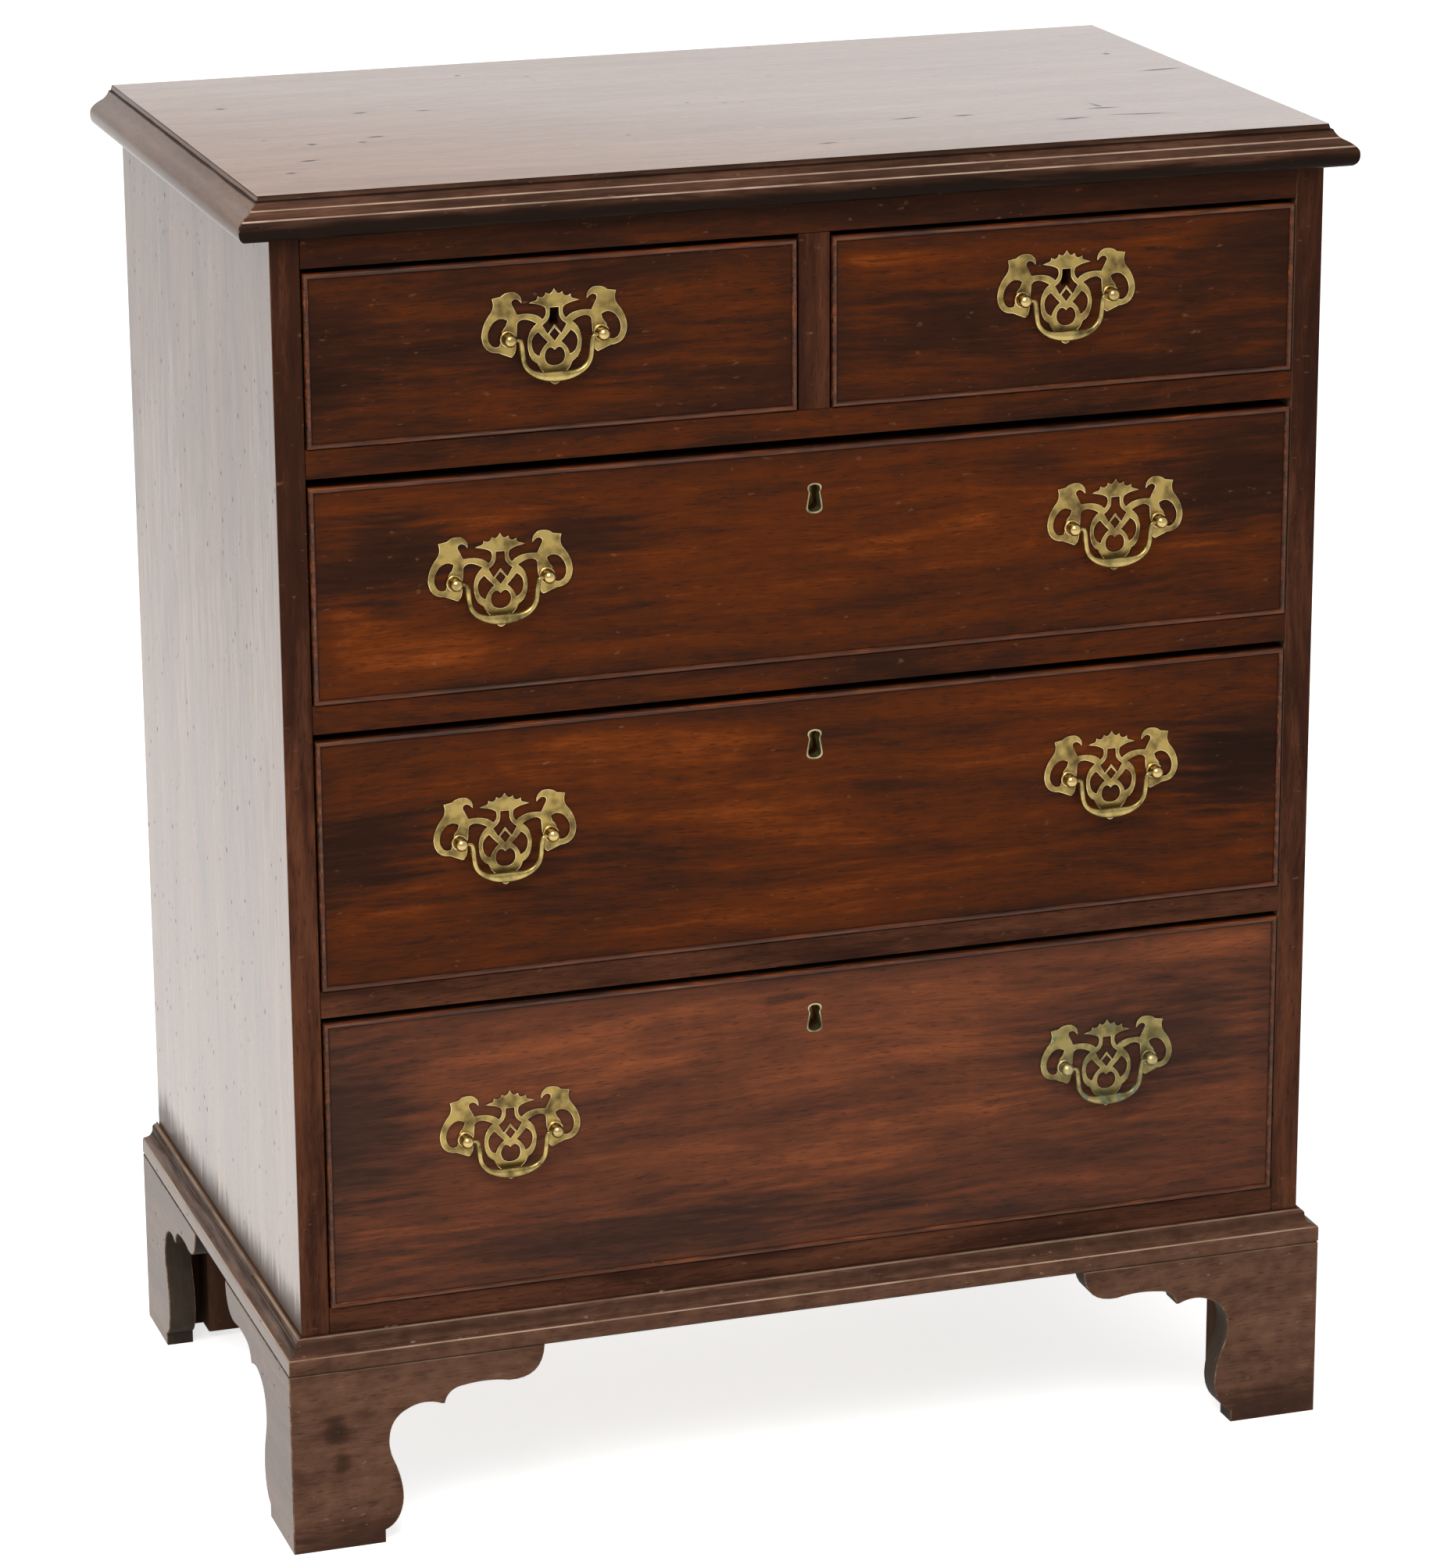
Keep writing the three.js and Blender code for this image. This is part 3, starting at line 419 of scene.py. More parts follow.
# Sawn and matt, browned by age, with strong dark bands of summer growth
bare_pine = wood("bare_pine", "X", pine_colours, (2.2, 8.0, 1.0), figure=0.9, streak=0.9, fine=0.5,
                 mottle=0.3, roughness=0.75, specular=0.1, pores=0.1, wear="#b79c78")
# Drier and paler, where the fibres are cut
dry_edge = wood("dry_pine_edge", "X", [(0.0, "#7a5c3c"), (1.0, "#b3966c")], (4.0, 1.0, 6.0), roughness=0.8,
                specular=0.2, pores=0.1, wear="#b79c78")
for board in ("lower_dustboard", "middle_dustboard", "upper_dustboard", "bottom_board", "back_panel"):
    eased_copy(board, f"{board}_pine", pine_arris, [bare_pine, dry_edge])

# Black iron scale and brown rust, mixed in grains 1 mm across, and nearly matt
rusty_iron, shader, add = new_material("rusty_wrought_iron")
grains = add("TexNoise", {"Vector": add("TexCoord", out="Object"), "Scale": 900.0, "Detail": 4.0})
rust = add("ValToRGB", {"Fac": grains}, stops=[(0.3, "#1d1512"), (0.7, "#4a3023")])
feed(shader, {"Base Color": rust, "Metallic": 0.5, "Roughness": 0.7})
back_low, back_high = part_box("back_panel")
back_boards = 3
board_height = (back_high.z - back_low.z) / back_boards
nail_radius = 2.6 * MM
nail_flatness = 0.45
nail_inset = 9 * MM
nail_shares = (0.14, 0.5, 0.86)
nail_levels = [back_low.z + board_height * (i + share) for i in range(back_boards) for share in nail_shares]
bpy.ops.mesh.primitive_uv_sphere_add(segments=10, ring_count=6, radius=nail_radius)
nail = bpy.context.object
nail.scale = (1, nail_flatness, 1)
bpy.ops.object.transform_apply()
nails = []
for level in nail_levels:
    for x in (back_low.x + nail_inset, 0, back_high.x - nail_inset):
        head = nail.copy()
        head.data = nail.data.copy()
        bpy.context.collection.objects.link(head)
        head.location = (x, back_high.y, level)
        nails.append(head)
bpy.data.objects.remove(nail)
bpy.ops.object.select_all(action="DESELECT")
for head in nails:
    head.select_set(True)
bpy.context.view_layer.objects.active = nails[0]
bpy.ops.object.join()
back_nails = bpy.context.object
back_nails.name = "back_panel_nails"
bpy.ops.object.transform_apply()
finish_faces(back_nails, smooth_below=60)
settle(back_nails, "back_panel", [rusty_iron], stands_for_it=False)


# Top: one polished board, faded by light. A small fillet, a cove, a slope and a round nose are worked on
# three of its edges. Wear has rounded their mitres, and rubbed the slope's two arrises pale.
def trace(rows, steps):
    """Points along an outline. A row [x, z] is a straight run to that point, and a row [cx, cz, x, z] is a
    curve to its second pair that bends towards its first. The first row is the start."""
    points = [Vector(rows[0])]
    for row in rows[1:]:
        start, end = points[-1], Vector(row[-2:])
        if len(row) == 2:
            points.append(end)
            continue
        bend = Vector(row[:2])
        points += [start.lerp(bend, i / steps).lerp(bend.lerp(end, i / steps), i / steps)
                   for i in range(1, steps + 1)]
    return points


def stretched(rows, width, rise, fall=None):
    """An outline's rows in metres, from shares of a width, a rise and a fall."""
    fall = rise if fall is None else fall
    return [[share * (width if i % 2 == 0 else rise if share > 0 else fall) for i, share in enumerate(row)]
            for row in rows]


def grown(name, centre, half, profile):
    """A moulded board: a plane raised ring by ring. Each step of the profile is how far the ring reaches past
    the half size, and its level."""
    reach, level = profile[0]
    bpy.ops.mesh.primitive_plane_add(size=2, location=(centre[0], centre[1], level))
    piece = bpy.context.object
    piece.name = name
    piece.scale = (half[0] + reach, half[1] + reach, 1)
    bpy.ops.object.transform_apply()
    open_mesh(piece)
    bpy.ops.mesh.select_mode(type="FACE")
    for (reach, level), (next_reach, next_level) in zip(profile, profile[1:]):
        bpy.ops.mesh.extrude_region_move(TRANSFORM_OT_translate={"value": (0, 0, next_level - level)})
        growth = [(size + next_reach) / (size + reach) for size in half]
        bpy.ops.transform.resize(value=(*growth, 1), center_override=(centre[0], centre[1], next_level))
    bpy.ops.mesh.select_all(action="SELECT")
    bpy.ops.mesh.normals_make_consistent(inside=False)
    return piece


def trimmed(centre, normal):
    """Cuts all that is open in edit mode by a plane, closes the cut and drops what lies past it."""
    bpy.ops.mesh.select_all(action="SELECT")
    bpy.ops.mesh.bisect(plane_co=centre, plane_no=normal, use_fill=True, clear_outer=True)


close_by = 0.01 * MM


def runs_at(edge, levels, rear):
    """Whether an edge runs along one of these levels, clear of the rear face."""
    at_a_level = any(all(abs(v.co.z - level) < close_by for v in edge.verts) for level in levels)
    return at_a_level and edge.verts[0].co.y < rear - 1 * MM


top_low, top_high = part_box("top")
top_edge_width = 16.6 * MM
top_thickness = top_high.z - top_low.z
top_edge_shares = [
    [0.783, -1],
    [1, -0.927, 1, -0.72],
    [1, -0.604, 0.904, -0.542],
    [0.76, -0.444, 0.524, -0.378],
    [0.265, -0.313, 0.145, -0.135],
    [0.06, -0.127],
    [0, 0],
]
top_crease_shares = [-0.542, -0.135, 0]
spare_back = 30 * MM
top_flat_front = top_low.y + top_edge_width
top_centre = (0, (top_flat_front + top_high.y + spare_back) / 2)
top_half = (top_high.x - top_edge_width, (top_high.y + spare_back - top_flat_front) / 2)
top_profile = [(out, top_high.z + level) for out, level in
               trace(stretched(top_edge_shares, top_edge_width, top_thickness), steps=6)]
# It is grown too deep by the spare length, and cut off at the back, where no edge is worked
top_board = grown("top_board", top_centre, top_half, top_profile)
trimmed((0, top_high.y, 0), (0, 1, 0))
flat_corner = Vector((top_half[0], top_flat_front))
mitre_wear = 1.4 * MM
crease_ease = 0.3 * MM


def mitre(edge):
    """Whether an edge is the mitre between two mouldings."""
    ends = [abs(abs(v.co.x) - flat_corner.x + v.co.y - flat_corner.y) < close_by for v in edge.verts]
    return all(ends) and edge.verts[0].co.x * edge.verts[1].co.x > 0 and sharp(edge, least=0.1)


ease(top_board, mitre, mitre_wear, segments=3)
crease_levels = [top_high.z + share * top_thickness for share in top_crease_shares]
ease(top_board, lambda edge: runs_at(edge, crease_levels, top_high.y), crease_ease)
close_mesh()
quirk_level, upper_rub, lower_rub, nose_level, nose_foot = [
    top_high.z + share * top_thickness for share in (-0.13, -0.32, -0.505, -0.86, -0.97)]
base_colours = [(0.0, "#1a110c"), (0.3, "#40291e"), (0.6, "#624434"), (1.0, "#8c6854")]
# Scratches and dents in the top, in mm: x, y, two radii and a turn
top_scars = [(349, 28, 19, 2.5, 0.1), (252, -100, 16, 3, -0.1), (252, -90, 2.5, 10, 0.2),
             (267, -131, 26, 3, -0.15), (217, -132, 18, 3.5, 0.05), (338, 102, 3, 3, 0),
             (-314, -103, 8, 2.5, 0.2), (-249, -34, 7, 2.5, 0.1), (-263, -50, 5, 3, 0),
             (-336, -141, 5, 3, 0), (-297, -47, 4, 3, 0), (-239, 56, 6, 2, 0.1),
             (-195, 50, 7, 2, 0), (-134, 176, 3, 3, 0), (-326, 104, 5, 2.5, 0), (30, -160, 9, 2, 0.05),
             (150, -95, 10, 2.5, 0), (110, -92, 12, 2, 0.1)]
# High gloss over bleached wood, broken by the dents and scratches of long use
top_wood = wood("polished_mahogany_top", "X", faded_mahogany, (0.9, 3.3, 7.0), tone=0.56, figure=0.45,
                streak=0.2, fine=0.1, mottle=0.1, pits=0.05, coat=1.0, specular=0.2, coat_roughness=0.16,
                wear="#b39c8a", scars=[((x * MM, y * MM, top_high.z), (rx * MM, ry * MM, everywhere), turn)
                                       for x, y, rx, ry, turn in top_scars])
# Faded and glossy at the sides, with painted shade in black lines along the quirk, and a painted highlight, a
# nearly white line, along the foot of the nose
quirk_shade_lines = [line_at(quirk_level, 0.9 * MM, 0.97), line_at(top_high.z, 0.7 * MM, 0.9)]
side_edge_wood = wood("faded_moulding_side", "Y", faded_mahogany, (2.0, 5.0, 1.0), tone=0.3, figure=0.5,
                      streak=0.2, fine=0.1, coat=0.75, specular=0.01, coat_roughness=0.25, stains_and_shade=quirk_shade_lines,
                      rubbed="#e8e2da", rubs_and_highlights=[line_at(nose_foot, 0.9 * MM, 0.9)])
# Dark in front, with painted shade that darkens the fillet, draws black lines along the quirk and turns the
# nose nearly black, and two arrises above the nose rubbed pale
top_edge_wood = wood("moulded_mahogany_edge", "X", base_colours, (4.2, 0.7, 3.0), tone=0.34, roughness=0.25,
                     specular=0.025, rubbed="#b39884",
                     stains_and_shade=[line_at(nose_level, 9 * MM, 0.97), line_at(top_high.z, 3 * MM, 0.5), *quirk_shade_lines],
                     rubs_and_highlights=[line_at(upper_rub, 0.45 * MM, 0.8), line_at(lower_rub, 0.5 * MM, 0.9)])
# Planed and never polished, against the wall
top_back_wood = wood("planed_back_edge", "X", dull_mahogany, (1.0, 2.0, 3.0), tone=0.6, roughness=0.6)
for face in top_board.data.polygons:
    flat_top = face.normal.z > 0.999 and face.center.z > top_high.z - close_by
    if face.normal.y > facing:
        face.material_index = 3
    elif not flat_top:
        face.material_index = 2 if abs(face.normal.x) > abs(face.normal.y) else 1
finish_faces(top_board)
settle(top_board, "top", [top_wood, top_edge_wood, side_edge_wood, top_back_wood])


# Base moulding: a flat band, a rounded arris, a cove and a small bead, mitred round the front corners and
# glued and pinned to the case. Its band is gouged at the mitres, and its arris and bead are rubbed pale.
least_cap_area = 0.02


def hollowed(piece, level):
    """Opens a grown frame: its two caps, both at one level, go, and a ring closes it between their edges."""
    pick(piece, "FACE", lambda face: abs(face.normal.z) > facing and face.calc_area() > least_cap_area
         and abs(face.calc_center_median().z - level) < close_by and len(face.verts) == 4)
    bpy.ops.mesh.delete(type="ONLY_FACE")
    pick(piece, "EDGE", lambda edge: edge.is_boundary)
    bpy.ops.mesh.bridge_edge_loops()


def front_stains(rows, level_y):
    """Stains on a front, from rows in mm: x and z of the centre, two radii and a strength."""
    return [((x * MM, level_y, z * MM), (rx * MM, everywhere, rz * MM), strength)
            for x, z, rx, rz, strength in rows]


base_reach = moulding_high.x - case_half_width
base_height = moulding_high.z - moulding_low.z
seat_gap = 0.3 * MM
base_profile_shares = [
    [0.93, 0],
    [1, 0.06],
    [1, 0.4],
    [1, 0.52, 0.88, 0.53],
    [0.78, 0.54],
    [0.43, 0.56, 0.36, 0.78],
    [0.42, 0.93, 0.13, 0.96],
    [0.13, 1],
]
base_points = trace(stretched(base_profile_shares, base_reach, base_height), steps=5)
base_profile = [(out, moulding_low.z + level) for out, level in base_points]
base_profile += [(seat_gap, moulding_high.z), (seat_gap, moulding_low.z)]
base_centre = (0, (case_front + moulding_high.y + spare_back) / 2)
base_half = (case_half_width, (moulding_high.y + spare_back - case_front) / 2)
moulding = grown("base_moulding_strip", base_centre, base_half, base_profile)
hollowed(moulding, moulding_low.z)
bpy.ops.mesh.select_all(action="SELECT")
bpy.ops.mesh.normals_make_consistent(inside=False)
trimmed((0, moulding_high.y, 0), (0, 1, 0))
base_creases = [moulding_low.z + share * base_height for share in (0.53, 0.54, 0.96, 1)]
ease(moulding, lambda edge: runs_at(edge, base_creases, moulding_high.y) and sharp(edge, least=0.2),
     crease_ease)
close_mesh()
base_arris_level, cove_level, bead_level = [
    moulding_low.z + share * base_height for share in (0.49, 0.76, 0.95)]
cove_reach = 0.24 * base_height
gouge_radii = (30 * MM, 0.35 * MM, base_height / 2)
corner_radii = (0.8 * MM, 0.8 * MM, everywhere)
mitre_scars = [((x * moulding_high.x, moulding_low.y, moulding_high.z), gouge_radii, -x * math.pi / 4)
               for x in (-1, 1)]
corner_rubs = [((x * moulding_high.x, moulding_low.y, 0), corner_radii, 0.5) for x in (-1, 1)]
foot_stains = front_stains([(-352, 88, 10, 14, 0.6), (-347, 66, 8, 9, 0.5), (-300, 8, 120, 20, 0.45),
                            (330, 8, 120, 20, 0.45), (-298, 40, 14, 18, 0.45)], moulding_low.y)
# Thin dull polish, scuffed grey, with dirt in the cove and stains near the floor
base_wood = wood("base_mahogany", "X", base_colours, (5.0, 2.0, 1.0), figure=0.5, streak=0.2, mottle=0.5,
                 roughness=0.5, specular=0.06, wear="#a08a72", wear_share=0.7, scars=mitre_scars,
                 rubbed="#c4a890", stains_and_shade=[*foot_stains, line_at(cove_level, cove_reach, 0.35),
                                           line_at(moulding_high.z, 0.7 * MM, 0.8)],
                 rubs_and_highlights=[line_at(base_arris_level, 0.5 * MM, 0.65), line_at(bead_level, 0.4 * MM, 0.35),
                       *corner_rubs])
# Bare grey-brown wood, where knocks have worn the arrises
base_arris = wood("worn_base_arris", "X", [(0.0, "#33241b"), (0.5, "#66503e"), (1.0, "#9c8670")],
                  (2.0, 1.0, 4.0), streak=1.2, fine=0.8, roughness=0.55)
# Faded at the sides, and still glossy but for the dirt packed in the cove
base_side_wood = wood("base_moulding_side", "Y", faded_mahogany, (2.0, 4.0, 6.0), tone=0.34, figure=0.5,
                      streak=0.2, roughness=0.4, specular=0.01, coat=0.7, coat_roughness=0.3, pits=0.4,
                      wear="#a08a72", stains_and_shade=[line_at(cove_level, cove_reach, 0.92)],
                      rubs_and_highlights=[line_at(base_arris_level, 0.6 * MM, 0.8), line_at(cove_level, 0.5 * MM, 0.35),
                            line_at(bead_level, 0.6 * MM, 0.5), *corner_rubs])
for face in moulding.data.polygons:
    face.material_index = 1 if abs(face.normal.x) > abs(face.normal.y) else 0
finish_faces(moulding)
settle(moulding, "base_moulding", [base_wood, base_side_wood])


# Bracket feet: two boards sawn to a scrolled outline and mitred at the outer corner, with a glue block behind
# them that rises to the bottom board. The rear feet have a plain splayed board across the back.
def mirrored(rows):
    """An outline's rows, and then the way back to its start on the other side of the middle."""
    back = [[*([-row[0], row[1]] if len(row) == 4 else []), -before[-2], before[-1]]
            for before, row in zip(rows, rows[1:])]
    return rows + back[::-1]


def flipped(rows, way=-1):
    """An outline's rows, turned over to the other side of the middle."""
    return [[v * way if i % 2 == 0 else v for i, v in enumerate(row)] for row in rows]


def fret(name, outlines, thickness, arris, steps=8):
    """A flat piece sawn to its outlines, with its arrises eased. It stands upright, with its face to -Y.
    Its materials are the face's, the arrises' and the sawn walls'."""
    flat, sloping = 0.95, 0.1
    bpy.ops.curve.primitive_bezier_curve_add()
    piece = bpy.context.object
    piece.name = name
    curve = piece.data
    curve.dimensions = "2D"
    curve.fill_mode = "BOTH"
    curve.resolution_u = steps
    curve.bevel_depth = arris
    curve.bevel_resolution = 1
    curve.offset = -arris
    curve.extrude = thickness / 2 - arris
    curve.splines.clear()
    for rows in outlines:
        if [round(v, 9) for v in rows[-1][-2:]] != [round(v, 9) for v in rows[0]]:
            rows = rows + [rows[0]]
        spline = curve.splines.new("BEZIER")
        spline.bezier_points.add(len(rows) - 2)
        spline.use_cyclic_u = True
        points = spline.bezier_points
        for i, row in enumerate(rows[1:]):
            start, end = Vector(rows[i][-2:]), Vector(row[-2:])
            bend = Vector(row[:2]) if len(row) == 4 else (start + end) / 2
            here, there = points[i], points[(i + 1) % len(points)]
            here.co = start.to_3d()
            here.handle_right_type = there.handle_left_type = "FREE"
            here.handle_right = start.lerp(bend, 2 / 3).to_3d()
            there.handle_left = end.lerp(bend, 2 / 3).to_3d()
    only(piece)
    bpy.ops.object.convert(target="MESH")
    piece = bpy.context.object
    piece.rotation_euler.x = math.pi / 2
    bpy.ops.object.transform_apply()
    for face in piece.data.polygons:
        towards_y = abs(face.normal.y)
        face.material_index = 0 if towards_y > flat else 1 if towards_y > sloping else 2
    return piece


foot_top = moulding_low.z - seat_gap
bracket_thickness = 20 * MM
bracket_ease = 0.7 * MM
front_bracket_length = 182 * MM
front_foot_side_length = 188 * MM
rear_foot_side_length = 172 * MM
rear_board_length = 120 * MM
rear_board_inset = 8 * MM
rear_board_end = rear_board_length - bracket_thickness / 2
block_start = 32.7 * MM
block_width = 28 * MM
block_lift = 6 * MM
block_ease = 1.5 * MM
bracket_shares = [
    [0, 0],
    [0.36, 0],
    [0.36, 0.072],
    [0.426, 0.106, 0.434, 0.242],
    [0.434, 0.348, 0.401, 0.455],
    [0.379, 0.523, 0.384, 0.591],
    [0.39, 0.697, 0.453, 0.739],
    [0.522, 0.788, 0.593, 0.745],
    [0.603, 0.745],
    [0.615, 0.826, 0.681, 0.833],
    [0.775, 0.852, 0.857, 0.827],
    [0.992, 0.814, 1, 1],
    [0, 1],
]
rear_board_shares = [[0, 0], [0.5, 0], [0.5, 0.28], [1, 0.72], [1, 1], [0, 1]]
# Faded and dull at the sides, with dents full of dirt
foot_side_wood = wood("base_mahogany_side", "Y", faded_mahogany, (1.0, 6.0, 2.0), tone=0.34, figure=0.5,
                      streak=0.2, roughness=0.45, specular=0.01, coat=0.55, coat_roughness=0.3, pits=0.5,
                      wear="#a08a72", rubs_and_highlights=corner_rubs)
# Matt red-brown wood that was never polished
block_wood = wood("unpolished_mahogany", "Z", [(0.0, "#1f150f"), (0.5, "#493123"), (1.0, "#6c4e38")],
                  (3.0, 1.0, 5.0), roughness=0.8, specular=0.1)
# Dark grey-brown and unpolished on the sawn walls of the scrolls, with old saw marks
sawn_wood = wood("sawn_scroll_mahogany", "Z", [(0.0, "#17120e"), (0.5, "#392f27"), (1.0, "#574a3c")],
                 (6.0, 2.0, 1.0), roughness=0.7, specular=0.1)


def bracket(name, node, shares, length, way, turn, corner, shift, mitre_normal, materials):
    """One board of a foot, drawn from its outer corner, turned to its face and mitred there."""
    rows = flipped(stretched(shares, length, foot_top), way)
    board = fret(name, [rows], bracket_thickness, bracket_ease)
    board.rotation_euler.z = turn
    board.location = (corner[0] + shift[0], corner[1] + shift[1], 0)
    bpy.ops.object.transform_apply()
    if mitre_normal:
        open_mesh(board)
        bpy.ops.mesh.remove_doubles(threshold=0.002 * MM)
        trimmed((*corner, 0), mitre_normal)
        close_mesh()
    finish_faces(board)
    settle(board, node, materials)


front_foot_woods = [base_wood, base_arris, sawn_wood]
side_foot_woods = [foot_side_wood, base_arris, sawn_wood]
half_thickness = bracket_thickness / 2
for side, x in (("left", -1), ("right", 1)):
    for end, y, length in (("front", -1, front_foot_side_length), ("rear", 1, rear_foot_side_length)):
        node = f"{end}_{side}_foot"
        foot_low, foot_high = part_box(node)
        corner = (foot_low.x if x < 0 else foot_high.x, foot_low.y if y < 0 else foot_high.y)
        inwards = -x * half_thickness
        bracket(f"{node}_side_bracket", node, bracket_shares, length, -x * y, x * math.pi / 2, corner,
                (inwards, 0), (-x, y, 0) if end == "front" else None, side_foot_woods)
        if end == "front":
            bracket(f"{node}_front_bracket", node, bracket_shares, front_bracket_length, -x, 0, corner,
                    (0, half_thickness), (x, -y, 0), front_foot_woods)
        else:
            bracket(f"{node}_back_board", node, rear_board_shares, rear_board_end, -x, 0, corner,
                    (inwards, -rear_board_inset - half_thickness), None, 3 * [block_wood])
        from_the_corner = block_start + block_width / 2
        bpy.ops.mesh.primitive_cube_add(size=1, location=(
            corner[0] - x * from_the_corner, corner[1] - y * from_the_corner, (block_lift + foot_high.z) / 2))
        block = bpy.context.object
        block.name = f"{node}_glue_block"
        block.scale = (block_width, block_width, foot_high.z - block_lift)
        bpy.ops.object.transform_apply()
        open_mesh(block)
        ease(block, lambda edge: abs(edge.verts[0].co.z - edge.verts[1].co.z) > block_lift, block_ease)
        close_mesh()
        finish_faces(block)
        settle(block, node, [block_wood])


# Drawers: a mahogany front with a half-round cockbead let in round its edge, and oak linings, dovetailed.
# Old polish has gone dark where hands and handles touch, and the middle of each front has faded to orange.
red_mahogany = [(0.0, "#1a110d"), (0.25, "#3b261e"), (0.5, "#603624"), (0.75, "#86492b"), (1.0, "#aa643c")]
bead_width = 3.5 * MM
bead_radius = bead_width / 2
bead_steps = 8
bead_clearance = 0.05 * MM
front_thickness = 20 * MM
front_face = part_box("second_drawer_front")[0].y + bead_radius
front_ease = 0.3 * MM
lining_ease = 0.5 * MM
first_seed, seed_step = (0.4, 0, 0), (3.7, 1.9, 2.3)
# Straw brown and dull, planed and rubbed smooth by use
lining_oak = wood("lining_oak", "Y", [(0.0, "#6b4b2c"), (0.5, "#94714a"), (1.0, "#b08c60")], (1.4, 2.4, 0.4),
                  roughness=0.65, specular=0.3, wear="#c0a27a")
# A little paler on its arrises
oak_edge = wood("oak_edge", "Y", [(0.0, "#8a6a44"), (1.0, "#bb9a6c")], (4.4, 1.4, 2.4), roughness=0.7,
                specular=0.3)
# Dark and glossy on the bead's two sides, and pale along its crest
bead_wood = wood("cockbead_mahogany", "X", dark_mahogany, (6.0, 2.0, 8.0), tone=0.4, streak=1.2, fine=0.8,
                 specular=0.2, roughness=0.35)
bead_crest = wood("rubbed_cockbead_crest", "X", rubbed_mahogany, (2.0, 7.0, 5.0), tone=0.12, streak=1.6,
                  fine=0.8, specular=0.2, roughness=0.35)
drawers = {
    "top_left_drawer": dict(colours=dark_mahogany, tilt=0.02, tone=0.37, stains_and_shade=[
        (-185, 845, 95, 42, 0.3), (-330, 840, 45, 70, 0.3), (-40, 800, 80, 50, 0.15),
        (-262, 862, 50, 7, -0.4), (-90, 865, 70, 12, -0.2), (-270, 822, 60, 5, -0.3)]),
    "top_right_drawer": dict(colours=dark_mahogany, tilt=-0.02, tone=0.37, stains_and_shade=[
        (100, 832, 80, 26, 0.4), (300, 845, 80, 60, 0.3), (60, 876, 60, 7, -0.4), (105, 856, 40, 4, -0.4),
        (200, 790, 150, 14, 0.2)]),
    "second_drawer": dict(colours=dark_mahogany, tilt=0.0, tone=0.42, stains_and_shade=[
        (-310, 700, 70, 36, 0.6), (-170, 705, 60, 24, 0.4), (305, 700, 70, 60, 0.5),
        (-230, 742, 120, 9, -0.3), (-270, 632, 90, 14, -0.25), (60, 690, 110, 50, -0.12),
        (215, 645, 60, 7, -0.3), (160, 720, 40, 16, 0.25)]),
    "third_drawer": dict(colours=dark_mahogany, tilt=-0.02, tone=0.43, stains_and_shade=[
        (-320, 500, 60, 45, 0.55), (310, 500, 70, 42, 0.75), (-60, 530, 100, 28, -0.2),
        (-220, 562, 120, 8, -0.3), (-80, 455, 200, 22, 0.25), (130, 555, 100, 14, -0.2),
        (-200, 500, 70, 40, 0.2)]),
    "bottom_drawer": dict(colours=red_mahogany, tilt=0.01, tone=0.49, stains_and_shade=[
        (-325, 305, 55, 70, 0.5), (240, 305, 120, 55, 0.45), (300, 368, 100, 10, -0.3),
        (-120, 330, 160, 32, -0.2), (-200, 202, 270, 30, 0.4), (160, 212, 280, 32, 0.28),
        (-20, 362, 20, 6, 0.4), (-90, 300, 100, 16, 0.15)]),
}
bead_arc = [math.pi * i / bead_steps for i in range(bead_steps + 1)]
for i, (drawer, look) in enumerate(drawers.items()):
    low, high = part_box(f"{drawer}_front")
    middle = (low + high) / 2
    seed = [first + i * step for first, step in zip(first_seed, seed_step)]
    look["stains_and_shade"] = front_stains(look["stains_and_shade"], front_face)
    # Deep brown with orange in its bands, under an old polish worn to a soft gloss
    front_wood = wood(f"{drawer}_front_mahogany", "X", seed=seed, edge=(middle, (high - low) / 2), **look)
    eased_copy(f"{drawer}_front", f"{drawer}_front_board", front_ease, [front_wood, rubbed_arris],
               test=lambda edge: sharp(edge) and min(v.co.y for v in edge.verts) > front_face + bead_width)
    for part in ("side_left", "side_right", "back", "bottom"):
        eased_copy(f"{drawer}_{part}", f"{drawer}_{part}_oak", lining_ease, [lining_oak, oak_edge])

    # The bead is drawn flat, as rings about the front's middle, and then stood up
    arc = [(bead_clearance + bead_radius * (math.cos(angle) - 1),
            bead_radius * math.sin(angle) + bead_clearance - front_face) for angle in bead_arc]
    let_in = -front_face - bead_radius
    profile = [(arc[0][0], let_in), *arc, (arc[-1][0], let_in)]
    half = ((high.x - low.x) / 2, (high.z - low.z) / 2)
    bead = grown(f"{drawer}_cockbead", (middle.x, middle.z), half, profile)
    hollowed(bead, let_in)
    close_mesh()
    bead.rotation_euler.x = math.pi / 2
    bpy.ops.object.transform_apply()
    for face in bead.data.polygons:
        face.material_index = 1 if face.normal.y < -facing else 0
    finish_faces(bead, smooth_below=40)
    settle(bead, f"{drawer}_front", [bead_wood, bead_crest], stands_for_it=False)


